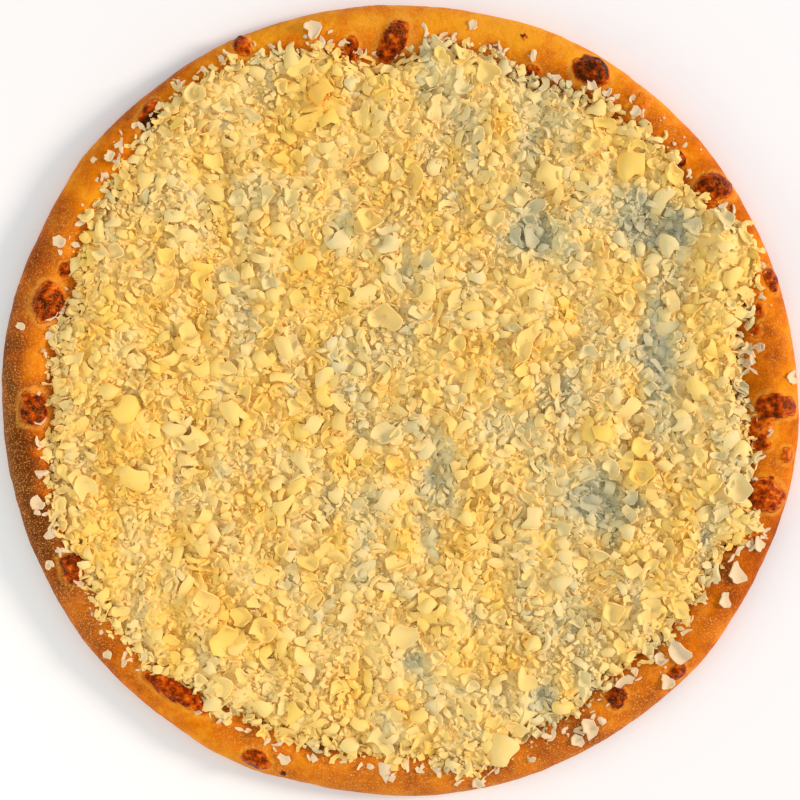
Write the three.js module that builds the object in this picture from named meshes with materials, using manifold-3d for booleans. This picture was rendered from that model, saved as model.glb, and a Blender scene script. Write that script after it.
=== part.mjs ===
// A large dessert pizza: a baked crust with a raised, blistered rim, a thin layer of pale cream on
// its base, and a heap of white-chocolate shavings that covers it almost to the edge.
// Millimetres, +Z up, origin at the middle of the flat underside.

import * as THREE from 'three';
import { mergeVertices } from 'three/addons/utils/BufferGeometryUtils.js';
import Module from 'manifold-3d';

const wasm = await Module();
wasm.setup();

// ---- Crust: driving dimensions ----------------------------------------------------------------
const PIZZA_RADIUS = 175;       // to the widest part of the rim
const BASE_RADIUS = 143;        // flat middle, up to where the rim begins to rise
const BASE_THICKNESS = 5.5;
const CREST_RADIUS = 162;       // the rim's highest line
const RIM_HEIGHT = 15.5;
const WIDEST_HEIGHT = 6.5;      // height of the widest line above the table
const FOOT_RADIUS = 169;        // where the rounded side meets the flat underside
const SPOKES = 72;              // steps round the crust
const FLANK_STEPS = 4;          // steps up the rim's inner flank
const SHOULDER_STEPS = 4;       // steps from the crest out to the widest line
const HEEL_STEPS = 3;           // steps from the widest line down to the foot

// Waves round the rim: [how many go round, size in mm, phase in degrees]. The edge has even counts
// only, so that its two opposite sides match and the pizza stays centred on its origin.
const EDGE_WAVES = [[2, 0.5, 40], [4, 0.3, 110], [6, 0.3, 20], [10, 0.25, 75], [14, 0.2, 160]];
const CREST_WAVES = [[3, 0.7, 200], [5, 0.5, 60], [8, 0.5, 310], [13, 0.4, 130], [21, 0.3, 15]];

// Scorched blisters: [angle in degrees, radius, size across the rim, size along it, height] in mm.
const BLISTERS = [
  [91, 157.5, 20, 10, 3.2], [98, 155, 12, 6, 2.2], [68, 155.5, 6, 7, 1.6], [60, 166.5, 13, 16, 3.4],
  [51, 167, 15, 7, 1.2], [41, 161, 5, 8, 1.5], [34, 167, 20, 11, 3.0], [18, 171, 7, 10, 1.4],
  [14, 162, 5, 7, 1.2], [11, 158.5, 5, 6, 1.2], [-1, 164, 21, 11, 2.6], [-7, 159, 9, 6, 1.6],
  [-14.5, 165, 19, 13, 2.8], [-22, 158, 7, 16, 1.8], [-44.5, 170, 7, 9, 1.6], [-54, 161, 10, 9, 2.4],
  [-111.8, 170, 9, 12, 2.2], [-127.8, 161, 8, 31, 2.6], [-152.7, 160.5, 10, 13, 2.2],
  [181.3, 160, 12, 14, 2.8], [164.5, 159.5, 13, 16, 3.0], [158.5, 157, 6, 7, 1.4],
  [130.5, 168, 7, 9, 1.3], [114, 170.5, 11, 8, 2.0],
];
const BLISTER_SIDES = 8;
const BLISTER_RINGS = 4;

// Shavings that fell clear of the heap, onto the rim: [angle in degrees, radius, length] in mm.
const FALLEN_CLEAR = 1.5;       // least distance to the heap's outline
const FALLEN = [
  [103.3, 166, 9], [155, 164, 6.5], [-27.2, 165.5, 10], [-31.6, 166.5, 7], [-42.2, 163.5, 11],
  [-46.6, 170, 8], [-60, 165, 9.5], [-62.4, 168, 7], [-154.8, 169.5, 5], [-78.5, 171, 6],
  [-21.8, 167.5, 7], [-164, 164, 7], [3.2, 172, 6], [-108, 165, 6], [140, 165.5, 5.5],
  [58.8, 160.5, 5.5], [50.8, 162, 5], [169, 169, 4.5], [-139, 169.5, 5], [79, 167, 5],
];

// ---- Cream layer ------------------------------------------------------------------------------
const CREAM_THICKNESS = 1.5;
const CREAM_RADIUS = 141;
const CREAM_STEPS = 48;
// Where the cream creeps up the rim and shows: [angle in degrees, half width in degrees, reach].
const CREAM_TONGUES = [[-77, 5, 19.5], [16, 4, 15]];

// ---- Heap of shavings -------------------------------------------------------------------------
const GAP = 0.35;               // clearance between neighbouring solids
const HEAP_RADIUS = 157;        // mean radius of its uneven outline
const HEAP_LEVEL = 14.6;        // height of its top in the middle
const BANK_RISE = 2.2;          // how much higher it lies where it leans on the rim
const BANK_START = 100;         // radius at which that rise begins
const EDGE_THICKNESS = 1.2;     // one or two shavings thick at the very edge
const EDGE_SLOPE = 11;          // width of the slope down to the edge
const HEAP_RINGS = 18;          // rings of bumps, each about as far apart as a shaving is long
const BUMP_HEIGHT = 2.0;        // most that a bump stands above or below the mean
const BUMP_SHIFT = 0.3;         // most that it is off its ring, in ring widths
const CUT_DEPTH = 2;            // the uncut block reaches this low, below the base's top

// Lobes of the outline: [angle in degrees, half width in degrees, mm outwards].
const HEAP_LOBES = [
  [24, 7, 14], [45, 4, 5], [68, 6, -4], [93, 6, -13], [122, 14, 9], [163, 6, -6], [180, 10, -4],
  [198, 5, 3], [221, 10, 4], [282, 5, 9], [308, 6, -3], [340, 3, 10], [5, 8, -7],
];
// Hollows and mounds of its top: [x, y, half width, half depth, mm upwards].
const HEAP_FORMS = [
  [112, 22, 9, 21, -3.6], [13, -39, 9, 17, -2.6], [83, -44, 17, 11, -3.0], [107, 81, 17, 10, -2.6],
  [63, 72, 10, 10, -1.8], [24, 122, 9, 9, -1.6], [4, -114, 9, 9, -1.6], [-60, -30, 12, 10, -1.2],
  [107, -33, 12, 8, 2.2], [134, 36, 9, 20, 2.0], [62, 98, 20, 12, 1.4], [-118, -12, 12, 16, 1.4],
  [-40, 60, 22, 14, 1.0], [-75, -105, 18, 12, 1.0],
];

// Large shavings: a cupped petal, or a strip rolled about its short axis.
const CURL_COUNT = 72;          // spread evenly over the heap
const CURL_MIN = 8;             // their length
const CURL_MAX = 13;
const CURL_THICKNESS = 0.9;
const HOLD_SHARE = 0.12;        // share of a large shaving that is sunk in the heap
const SETTLE_STEP = 0.3;        // it is lowered by this much until it holds
// The largest, one by one: [x, y, length, width, heading in degrees, roll in degrees].
const LANDMARKS = [
  [-6.5, 36, 18, 11, -15, 100], [-118, -4.5, 14, 12, 60, 70], [-116, -35, 16, 12, -50, 70],
  [-76.5, -105, 15, 12, 20, 80], [-59, -100, 14, 11, 110, 120], [-85, -88, 14, 11, 10, 90],
  [146.5, -39, 17, 11, 80, 130], [105, -32, 14, 10, 30, 110], [-6.5, -15, 13, 10, 120, 140],
  [44, -153, 16, 12, 60, 60], [2, -103, 13, 9, 10, 50], [-35, 133, 14, 7, 40, 150],
  [100.5, 103, 13, 12, 5, 60], [65.5, 98, 13, 10, -40, 90], [-9, 103, 11, 9, 70, 80],
  [-92, 28.5, 13, 8, 130, 160],
];

// ---- Small helpers ----------------------------------------------------------------------------
const DEGREES = Math.PI / 180;
const GOLDEN_ANGLE = Math.PI * (3 - Math.sqrt(5));

const smooth = (t) => {
  const clamped = THREE.MathUtils.clamp(t, 0, 1);
  return clamped * clamped * (3 - 2 * clamped);
};
const waves = (list, angle) =>
  list.reduce((sum, [count, size, phase]) => sum + size * Math.cos(count * angle + phase * DEGREES), 0);

// Sum of bell-shaped lobes round a circle.
function lobes(list, angle) {
  let sum = 0;
  for (const [centre, halfWidth, size] of list) {
    const turn = angle - centre * DEGREES;
    const away = Math.atan2(Math.sin(turn), Math.cos(turn)) / (halfWidth * DEGREES);
    sum += size * Math.exp(-away * away);
  }
  return sum;
}

// A repeatable draw between 0 and 1 for the item with this number; each use has its own channel.
function draw(item, channel) {
  const value = Math.sin(item * 12.9898 + channel * 78.233) * 43758.5453;
  return value - Math.floor(value);
}

function toSolid(geometry) {
  const bare = geometry.clone();
  bare.deleteAttribute('normal');
  bare.deleteAttribute('uv');
  const merged = mergeVertices(bare, 1e-4);
  return new wasm.Manifold(new wasm.Mesh({
    numProp: 3,
    vertProperties: new Float32Array(merged.attributes.position.array),
    triVerts: new Uint32Array(merged.index.array),
  }));
}

function toGeometry(solid) {
  const mesh = solid.getMesh();
  const geometry = new THREE.BufferGeometry();
  geometry.setAttribute('position', new THREE.BufferAttribute(mesh.vertProperties, 3));
  geometry.setIndex(new THREE.BufferAttribute(mesh.triVerts, 1));
  geometry.computeVertexNormals();
  return geometry;
}

// The one body that counts: what was cut loose, and any sealed bubble, is left out.
const mainBody = (solid) =>
  solid.decompose().reduce((best, body) => (body.volume() > best.volume() ? body : best));

// Moves every vertex of a geometry to the place that a function gives for it.
function reshape(geometry, place) {
  const position = geometry.attributes.position;
  const point = new THREE.Vector3();
  for (let i = 0; i < position.count; i += 1) {
    point.fromBufferAttribute(position, i);
    position.setXYZ(i, ...place(point).toArray());
  }
  return geometry;
}

// ---- Crust ------------------------------------------------------------------------------------
const rimStretch = (angle) =>
  (PIZZA_RADIUS + waves(EDGE_WAVES, angle) - BASE_RADIUS) / (PIZZA_RADIUS - BASE_RADIUS);

// The plain profile is scaled in height as well, fully from the crest outwards.
const rimScale = (plainRadius, angle) =>
  1 + (waves(CREST_WAVES, angle) / RIM_HEIGHT)
    * smooth((plainRadius - BASE_RADIUS) / (CREST_RADIUS - BASE_RADIUS));

function plainTop(radius) {
  if (radius <= CREST_RADIUS) {
    const climb = smooth((radius - BASE_RADIUS) / (CREST_RADIUS - BASE_RADIUS));
    return BASE_THICKNESS + (RIM_HEIGHT - BASE_THICKNESS) * climb;
  }
  const out = Math.min((radius - CREST_RADIUS) / (PIZZA_RADIUS - CREST_RADIUS), 1);
  return WIDEST_HEIGHT + (RIM_HEIGHT - WIDEST_HEIGHT) * Math.sqrt(1 - out * out);
}

// Height of the crust's upper side at a radius and an angle.
function crustTop(radius, angle) {
  const plainRadius = BASE_RADIUS + Math.max(radius - BASE_RADIUS, 0) / rimStretch(angle);
  return plainTop(plainRadius) * rimScale(plainRadius, angle);
}

// A quarter of an ellipse, from straight above its centre round to straight out from it.
function quarterEllipse(centreRadius, centreHeight, reach, rise, steps) {
  return Array.from({ length: steps }, (_, i) => {
    const turn = ((i + 1) / steps) * 90 * DEGREES;
    return new THREE.Vector2(centreRadius + reach * Math.sin(turn), centreHeight + rise * Math.cos(turn));
  });
}

function crustProfile() {
  const flank = Array.from({ length: FLANK_STEPS + 1 }, (_, i) => {
    const radius = THREE.MathUtils.lerp(BASE_RADIUS, CREST_RADIUS, i / FLANK_STEPS);
    return new THREE.Vector2(radius, plainTop(radius));
  });
  const shoulder = quarterEllipse(
    CREST_RADIUS, WIDEST_HEIGHT, PIZZA_RADIUS - CREST_RADIUS, RIM_HEIGHT - WIDEST_HEIGHT, SHOULDER_STEPS);
  const heel = quarterEllipse(
    FOOT_RADIUS, WIDEST_HEIGHT, PIZZA_RADIUS - FOOT_RADIUS, -WIDEST_HEIGHT, HEEL_STEPS);
  heel.reverse();
  return [
    new THREE.Vector2(0, BASE_THICKNESS), ...flank, ...shoulder,
    ...heel.slice(1), new THREE.Vector2(FOOT_RADIUS, 0), new THREE.Vector2(0, 0),
  ];
}

function crustRound() {
  const lathe = new THREE.LatheGeometry(crustProfile().reverse(), SPOKES);
  lathe.rotateX(Math.PI / 2);
  return reshape(lathe, ({ x, y, z }) => {
    const plainRadius = Math.hypot(x, y);
    const angle = Math.atan2(y, x);
    const radius = BASE_RADIUS + (plainRadius - BASE_RADIUS) * rimStretch(angle);
    const grown = plainRadius > BASE_RADIUS ? radius : plainRadius;
    return new THREE.Vector3(
      grown * Math.cos(angle), grown * Math.sin(angle), z * rimScale(plainRadius, angle));
  });
}

// A frame on the crust's upper side: x outwards along the surface, y round the rim, z out of it.
function crustFrame(angle, radius) {
  const step = 0.5;
  const rise = (crustTop(radius + step, angle) - crustTop(radius - step, angle)) / (2 * step);
  const around = new THREE.Vector3(-Math.sin(angle), Math.cos(angle), 0);
  const outwards = new THREE.Vector3(Math.cos(angle), Math.sin(angle), rise).normalize();
  const normal = outwards.clone().cross(around);
  const frame = new THREE.Matrix4().makeBasis(outwards, around, normal);
  return frame.setPosition(
    radius * Math.cos(angle), radius * Math.sin(angle), crustTop(radius, angle));
}

// A dome, half sunk in the rim; grown by the clearance where it cuts its neighbours.
function blister([degrees, radius, across, along, height], clearance) {
  const ball = new THREE.SphereGeometry(1, BLISTER_SIDES, BLISTER_RINGS);
  ball.rotateX(Math.PI / 2);
  ball.scale(across / 2 + clearance, along / 2 + clearance, height + clearance);
  return toSolid(ball.applyMatrix4(crustFrame(degrees * DEGREES, radius)));
}

const BARE_CRUST = toSolid(crustRound());

// What the cream and the shavings are cut by: the crust, lifted and with fatter blisters.
function crustCutter(clearance) {
  const blisters = BLISTERS.map((spot) => blister(spot, clearance).translate(0, 0, clearance / 2));
  return wasm.Manifold.union([BARE_CRUST.translate(0, 0, clearance), ...blisters]);
}

function crustSolid() {
  const blisters = BLISTERS.map((spot) => blister(spot, 0));
  const fallen = FALLEN.map(([degrees, radius, length], i) => {
    const angle = degrees * DEGREES;
    const clearRadius = heapRadius(angle) + length / 2 + FALLEN_CLEAR;
    const flake = shaving(length, length * 0.7, 40 + 50 * draw(i, 1), 'petal');
    flake.rotateZ(360 * DEGREES * draw(i, 2));
    flake.translate(0, 0, CURL_THICKNESS * 0.3);
    return toSolid(flake.applyMatrix4(crustFrame(angle, Math.max(radius, clearRadius))));
  });
  return mainBody(wasm.Manifold.union([BARE_CRUST, ...blisters, ...fallen]));
}

// ---- Shavings ---------------------------------------------------------------------------------
// A thin plate bent into a shaving that rests on the origin. 'petal': narrow at both ends and cupped
// along and across. 'roll': a strip bent round its short axis. roll is the angle it is bent through.
function shaving(length, width, roll, kind) {
  const petal = kind === 'petal';
  const plate = new THREE.BoxGeometry(length, width, CURL_THICKNESS, petal ? 2 : 3, petal ? 2 : 1, 1);
  const bend = length / (roll * DEGREES);
  return reshape(plate, ({ x, y, z }) => {
    const narrow = petal ? 1 - 0.55 * (2 * x / length) ** 2 : 1 - 0.25 * (x / length + 0.5);
    const across = y * narrow;
    const cup = petal ? (across * across) / width : 0;
    const turn = x / bend;
    const reach = bend - z;
    return new THREE.Vector3(reach * Math.sin(turn), across, bend - reach * Math.cos(turn) + cup);
  });
}

const heapRadius = (angle) => HEAP_RADIUS + lobes(HEAP_LOBES, angle);

// Mean height of the heap's top, before its bumps.
function heapTop(x, y) {
  const radius = Math.hypot(x, y);
  const angle = Math.atan2(y, x);
  const inside = THREE.MathUtils.clamp((heapRadius(angle) - radius) / EDGE_SLOPE, 0, 1);
  const edge = crustTop(radius, angle) + GAP + EDGE_THICKNESS;
  let level = HEAP_LEVEL + BANK_RISE * smooth((radius - BANK_START) / (CREST_RADIUS - BANK_START));
  for (const [centreX, centreY, halfWidth, halfDepth, rise] of HEAP_FORMS) {
    const away = ((x - centreX) / halfWidth) ** 2 + ((y - centreY) / halfDepth) ** 2;
    level += rise * Math.exp(-away);
  }
  return edge + Math.max(level - edge, 0) * Math.sin(inside * 90 * DEGREES);
}

// The heap without its large shavings: rings of bumps on top, straight walls down to CUT_DEPTH.
// Ring k has 6k points, so that all bumps are about as far apart.
function heapBlock() {
  const points = [];
  const faces = [];
  const ringStart = (ring) => (ring === 0 ? 0 : 1 + 3 * ring * (ring - 1));
  const pointOf = (ring, step) => ringStart(ring) + (ring === 0 ? 0 : step % (6 * ring));
  for (let ring = 0; ring <= HEAP_RINGS; ring += 1) {
    const onEdge = ring === HEAP_RINGS;
    for (let step = 0; step < Math.max(6 * ring, 1); step += 1) {
      const number = points.length;
      const shift = onEdge ? -BUMP_SHIFT * draw(number, 3) : BUMP_SHIFT * (2 * draw(number, 3) - 1);
      const turn = BUMP_SHIFT * (2 * draw(number, 4) - 1);
      const angle = ring === 0 ? 0 : ((step + turn) / (6 * ring)) * 2 * Math.PI;
      const radius = heapRadius(angle) * (Math.max(ring + (ring === 0 ? 0 : shift), 0) / HEAP_RINGS);
      const x = radius * Math.cos(angle);
      const y = radius * Math.sin(angle);
      const bump = onEdge ? BUMP_HEIGHT * 0.5 * draw(number, 5) : BUMP_HEIGHT * (2 * draw(number, 5) - 1);
      points.push([x, y, Math.max(heapTop(x, y) + bump, crustTop(radius, angle) + GAP + EDGE_THICKNESS)]);
    }
  }
  for (let ring = 1; ring <= HEAP_RINGS; ring += 1) {
    for (let side = 0; side < 6; side += 1) {
      for (let step = 0; step < ring; step += 1) {
        const outer = side * ring + step;
        const inner = side * (ring - 1) + step;
        faces.push([pointOf(ring - 1, inner), pointOf(ring, outer), pointOf(ring, outer + 1)]);
        if (step < ring - 1) {
          faces.push([pointOf(ring - 1, inner), pointOf(ring, outer + 1), pointOf(ring - 1, inner + 1)]);
        }
      }
    }
  }
  const edgeCount = 6 * HEAP_RINGS;
  const lowStart = points.length;
  for (let step = 0; step < edgeCount; step += 1) {
    const [x, y] = points[pointOf(HEAP_RINGS, step)];
    points.push([x, y, CUT_DEPTH]);
  }
  const middle = points.length;
  points.push([0, 0, CUT_DEPTH]);
  for (let step = 0; step < edgeCount; step += 1) {
    const next = (step + 1) % edgeCount;
    const top = pointOf(HEAP_RINGS, step);
    const topNext = pointOf(HEAP_RINGS, next);
    faces.push([top, lowStart + step, lowStart + next], [top, lowStart + next, topNext]);
    faces.push([middle, lowStart + next, lowStart + step]);
  }
  const geometry = new THREE.BufferGeometry();
  geometry.setAttribute('position', new THREE.Float32BufferAttribute(points.flat(), 3));
  geometry.setIndex(faces.flat());
  return toSolid(geometry);
}

// Lowers a shaving onto the heap until enough of it is sunk to hold it.
function settle(flake, block) {
  const held = () => block.intersect(flake).volume() / flake.volume();
  while (held() < HOLD_SHARE) {
    flake = flake.translate(0, 0, -SETTLE_STEP);
  }
  return flake;
}

// A large shaving above the heap, as it falls: either way up, and tipped a little.
function tumbledShaving(number, x, y, length, width, heading, roll) {
  const kind = draw(number, 11) < 0.65 ? 'petal' : 'roll';
  const overturned = draw(number, 12) < 0.35 ? 180 : 0;
  const tip = new THREE.Euler(
    (overturned + 40 * (draw(number, 13) - 0.5)) * DEGREES, 40 * DEGREES * (draw(number, 14) - 0.5),
    heading * DEGREES, 'ZYX');
  const flake = shaving(length, width, roll, kind);
  flake.applyMatrix4(new THREE.Matrix4().makeRotationFromEuler(tip));
  flake.translate(x, y, heapTop(x, y) + length);
  return toSolid(flake);
}

function largeShavings(block) {
  const named = LANDMARKS.map((place, i) => tumbledShaving(CURL_COUNT + i, ...place));
  const spread = [];
  for (let i = 0; i < CURL_COUNT; i += 1) {
    const angle = i * GOLDEN_ANGLE + 0.3 * (draw(i, 6) - 0.5);
    const radius = (heapRadius(angle) - 3) * Math.sqrt((i + 0.5) / CURL_COUNT);
    const x = radius * Math.cos(angle);
    const y = radius * Math.sin(angle);
    const crowded = LANDMARKS.some(([atX, atY, length]) => Math.hypot(x - atX, y - atY) < length * 0.7);
    if (crowded) continue;
    const length = CURL_MIN + (CURL_MAX - CURL_MIN) * draw(i, 7) ** 2;
    const width = length * (0.5 + 0.35 * draw(i, 8));
    spread.push(tumbledShaving(i, x, y, length, width, 360 * draw(i, 9), 60 + 90 * draw(i, 10)));
  }
  return [...named, ...spread].map((flake) => settle(flake, block));
}

// ---- Cream ------------------------------------------------------------------------------------
// The layer's outline as a tall prism, widened by the clearance where it cuts the shavings.
function creamPrism(clearance) {
  const outline = new THREE.Shape(Array.from({ length: CREAM_STEPS }, (_, i) => {
    const angle = (i / CREAM_STEPS) * 2 * Math.PI;
    const radius = CREAM_RADIUS + clearance + lobes(CREAM_TONGUES, angle);
    return new THREE.Vector2(radius * Math.cos(angle), radius * Math.sin(angle));
  }));
  return toSolid(new THREE.ExtrudeGeometry(outline, { depth: 2 * RIM_HEIGHT, bevelEnabled: false }));
}

const CUTTER = crustCutter(GAP);

function creamSolid() {
  return mainBody(BARE_CRUST.translate(0, 0, GAP + CREAM_THICKNESS).subtract(CUTTER)
    .intersect(creamPrism(0)));
}

function heapSolid() {
  const creamCutter = BARE_CRUST.translate(0, 0, 2 * GAP + CREAM_THICKNESS).intersect(creamPrism(GAP));
  const block = heapBlock();
  return mainBody(wasm.Manifold.union([block, ...largeShavings(block)])
    .subtract(CUTTER).subtract(creamCutter));
}

// ---- Materials and nodes ----------------------------------------------------------------------
const bakedDough = new THREE.MeshStandardMaterial({ color: '#cf7f30', roughness: 0.8, metalness: 0 });
const paleCream = new THREE.MeshStandardMaterial({ color: '#d9b36a', roughness: 0.45, metalness: 0 });
const whiteChocolate = new THREE.MeshStandardMaterial({ color: '#f7dc96', roughness: 0.5, metalness: 0 });

function node(name, solid, material) {
  const mesh = new THREE.Mesh(toGeometry(solid), material);
  mesh.name = name;
  return mesh;
}

const pizza = new THREE.Group();
pizza.add(
  node('crust', crustSolid(), bakedDough),
  node('cream_layer', creamSolid(), paleCream),
  node('shavings', heapSolid(), whiteChocolate),
);

export default pizza;
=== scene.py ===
"""A large dessert pizza: blistered golden crust, a thin cream layer, and white chocolate shavings.

Lengths in this file are millimetres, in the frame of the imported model: +Z up, the origin under the
middle of the pizza. They become metres when a piece is made.
"""
import math

import bpy
import numpy as np
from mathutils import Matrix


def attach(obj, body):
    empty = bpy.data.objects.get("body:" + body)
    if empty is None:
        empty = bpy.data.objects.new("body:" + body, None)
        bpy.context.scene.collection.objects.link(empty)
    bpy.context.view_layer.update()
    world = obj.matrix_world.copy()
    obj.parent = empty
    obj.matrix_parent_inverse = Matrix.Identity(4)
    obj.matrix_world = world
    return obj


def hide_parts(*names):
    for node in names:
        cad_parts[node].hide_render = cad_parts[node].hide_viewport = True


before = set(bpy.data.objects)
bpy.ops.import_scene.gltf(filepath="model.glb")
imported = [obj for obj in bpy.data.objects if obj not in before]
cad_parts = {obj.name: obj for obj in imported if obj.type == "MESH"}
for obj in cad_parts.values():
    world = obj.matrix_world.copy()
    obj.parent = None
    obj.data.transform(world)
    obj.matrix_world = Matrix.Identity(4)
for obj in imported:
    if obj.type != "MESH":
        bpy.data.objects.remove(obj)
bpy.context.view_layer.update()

MM = 0.001

# ---- Crust: the same driving dimensions as the solids have ----
PIZZA_RADIUS = 175.0
BASE_RADIUS = 143.0
BASE_THICKNESS = 5.5
CREST_RADIUS = 162.0
RIM_HEIGHT = 15.5
WIDEST_HEIGHT = 6.5
FOOT_RADIUS = 169.0
# [waves round the edge, size, phase in degrees]
EDGE_WAVES = [(2, 0.5, 40), (4, 0.3, 110), (6, 0.3, 20), (10, 0.25, 75), (14, 0.2, 160)]
CREST_WAVES = [(3, 0.7, 200), (5, 0.5, 60), (8, 0.5, 310), (13, 0.4, 130), (21, 0.3, 15)]

# Scorched blisters: angle in degrees, radius, size across the rim, size along it, height, and how
# dark it is, from 0 for a blush to 1 for charred.
BLISTERS = [
    (91, 157.5, 20, 10, 3.2, 0.8), (98, 155, 12, 6, 2.2, 0.75), (68, 155.5, 6, 7, 1.6, 0.7),
    (60, 166.5, 13, 16, 3.4, 1.0), (51, 167, 15, 7, 1.2, 0.35), (41, 161, 5, 8, 1.5, 0.75),
    (34, 167, 20, 11, 3.0, 0.8), (18, 171, 7, 10, 1.4, 0.8), (14, 162, 5, 7, 1.2, 0.6),
    (11, 158.5, 5, 6, 1.2, 0.6), (-1, 164, 21, 11, 2.6, 0.7), (-7, 159, 9, 6, 1.6, 0.7),
    (-14.5, 165, 19, 13, 2.8, 0.65), (-22, 158, 7, 16, 1.8, 0.7), (-44.5, 170, 7, 9, 1.6, 0.75),
    (-54, 161, 10, 9, 2.4, 0.8), (-111.8, 170, 9, 12, 2.2, 0.75), (-127.8, 161, 8, 31, 2.6, 0.7),
    (-152.7, 160.5, 10, 13, 2.2, 0.75), (181.3, 160, 12, 14, 2.8, 0.8),
    (164.5, 159.5, 13, 16, 3.0, 0.8), (158.5, 157, 6, 7, 1.4, 0.7), (130.5, 168, 7, 9, 1.3, 0.6),
    (114, 170.5, 11, 8, 2.0, 0.75),
]
# Smaller ones that the solids leave out.
SMALL_BLISTERS = [
    (-8.1, 171, 7, 7, 1.0, 0.5), (-107.4, 172, 3, 3, 0.5, 0.8), (71.2, 168, 2.6, 3, 0.4, 0.8),
    (-4.5, 158, 11, 12, 1.4, 0.55), (-12, 166, 2.6, 3, 0.3, 0.7), (31, 159, 9, 12, 1.0, 0.5),
]
# Scorched patches that don't rise, in the same form.
SCORCHES = [(131.5, 161, 15, 13, 0.0, 1.0), (134.5, 156, 9, 10, 0.0, 0.9)]
# How far the long blisters lean over, by the angle at which they lie, both in degrees.
LEANS = {91: -32, 98: -20, -127.8: 8, 34: -25}
# Where flour and semolina lie thickest on the rim: angle, half width in degrees, amount.
DUSTINGS = [(-60, 35, 0.8), (-95, 25, 0.7), (75, 30, 0.6), (175, 30, 0.7), (215, 20, 0.5), (15, 18, 0.3)]
# Where the rim is browner than its mean, or paler below 0: angle, half width in degrees, amount.
BROWNINGS = [(-160, 14, 0.3), (28, 12, 0.2), (-20, 14, 0.4), (-60, 16, 0.1), (146, 10, -0.5)]
# The same for its outer flank alone; its darker left side, round 188 degrees, is painted shade, as it faces
# away from the light.
FLANK_BROWNING_AND_SHADE = [(188, 32, 0.42), (72, 26, -0.22), (112, 16, -0.1), (-120, 16, -0.12), (-64, 24, 0.12)]
# Layers of noise, each with its size, its width in mm and its seed.
LUMPS = [(0.45, 17, 1), (0.22, 6, 2), (0.10, 2.4, 3)]
CRINKLES = [(0.5, 2.2, 4), (0.3, 1.3, 7)]
BLISTER_WOBBLE = [(0.20, 4.5, 5), (0.10, 2.1, 6)]

# Shavings that fell clear of the heap, onto the rim: angle in degrees, radius, length.
FALLEN_CLEAR = 1.5    # least gap between the heap's outline and one of them
FALLEN = [
    (103.3, 166, 9), (155, 164, 6.5), (-27.2, 165.5, 10), (-31.6, 166.5, 7), (-42.2, 163.5, 11),
    (-46.6, 170, 8), (-60, 165, 9.5), (-62.4, 168, 7), (-154.8, 169.5, 5), (-78.5, 171, 6),
    (-21.8, 167.5, 7), (-164, 164, 7), (3.2, 172, 6), (-108, 165, 6), (140, 165.5, 5.5),
    (58.8, 160.5, 5.5), (50.8, 162, 5), (169, 169, 4.5), (-139, 169.5, 5), (79, 167, 5),
]

# ---- Cream layer ----
CREAM_THICKNESS = 1.5
CREAM_RADIUS = 141.0
CREAM_TONGUES = [(-77, 5, 19.5), (16, 4, 15)]

# ---- Heap of shavings ----
GAP = 0.35            # between one thing and what it lies on
HEAP_RADIUS = 157.0
HEAP_LEVEL = 14.6
BANK_RISE = 2.2
BANK_START = 100.0
EDGE_THICKNESS = 1.2
EDGE_SLOPE = 11.0     # width over which the heap's edge falls
# The heap's outline: angle, half width in degrees, how far it bulges.
HEAP_LOBES = [
    (24, 7, 14), (45, 4, 5), (68, 6, -4), (93, 6, -13), (122, 14, 9), (163, 6, -6), (180, 10, -4),
    (198, 5, 3), (221, 10, 4), (282, 5, 9), (308, 6, -3), (340, 3, 10), (5, 8, -7),
]
# Where loose shavings spill past the solid's outline, in the same form.
LOOSE_LOBES = [(93, 6, 3.5)]
# Hollows and mounds: x, y, half width, half depth, rise.
HEAP_FORMS = [
    (112, 22, 9, 21, -3.6), (13, -39, 9, 17, -2.6), (83, -44, 17, 11, -3.0), (107, 81, 17, 10, -2.6),
    (63, 72, 10, 10, -1.8), (24, 122, 9, 9, -1.6), (4, -114, 9, 9, -1.6), (-60, -30, 12, 10, -1.2),
    (107, -33, 12, 8, 2.2), (134, 36, 9, 20, 2.0), (62, 98, 20, 12, 1.4), (-118, -12, 12, 16, 1.4),
    (-40, 60, 22, 14, 1.0), (-75, -105, 18, 12, 1.0),
]
# Smaller hollows and mounds that the solids leave out, in the same form.
SMALL_FORMS = [
    (57, 94, 6, 28, -1.7), (103, -13, 8, 9, -1.6), (11, -66, 7, 12, -1.5), (79, -77, 6, 14, -1.5),
    (76, -109, 5, 9, -1.0), (17, 105, 6, 9, -1.2), (-22, 125, 7, 9, -1.2), (-31, -37, 6, 10, -1.0),
    (-92, -22, 6, 16, -1.0), (-17, -9, 6, 10, -1.0), (74, 0, 6, 10, -1.3), (-72, 39, 8, 8, -0.8),
    (44, 31, 6, 14, -1.1), (63, -131, 7, 8, -1.6), (136, -52, 6, 9, -1.6), (52, 70, 8, 8, -1.6),
    (116, 76, 9, 7, -1.2), (114, 40, 8, 9, -0.8), (22, 70, 10, 10, 1.1), (-133, -22, 6, 36, 0.9),
    (-105, 44, 6, 14, 0.9), (-85, -96, 9, 7, 0.9), (87, -17, 8, 6, 1.1), (118, -57, 8, 8, 1.1),
    (114, 74, 17, 11, -3.2), (137, 60, 8, 15, 4.0), (18, -28, 8, 14, -2.8), (86, -47, 12, 11, -1.5),
    (-60, 13, 10, 14, 0.8), (48, 118, 8, 8, 0.9), (-45, 47, 9, 9, 0.8), (100, -70, 9, 9, 0.9),
]
# Tint of a shaving: below 0 ivory, 0.14 greyest, the painted shade of the hollows, 1 warm yellow, and
# toasted to orange above that.
IVORY_TINT = -0.12
LEAST_TINT = 0.05
WARMEST_TINT = 1.6
# Where the shavings are toasted: x, y, half width, half depth, added tint.
TOASTED = [(-36, 134, 8, 8, 0.65)]
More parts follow.
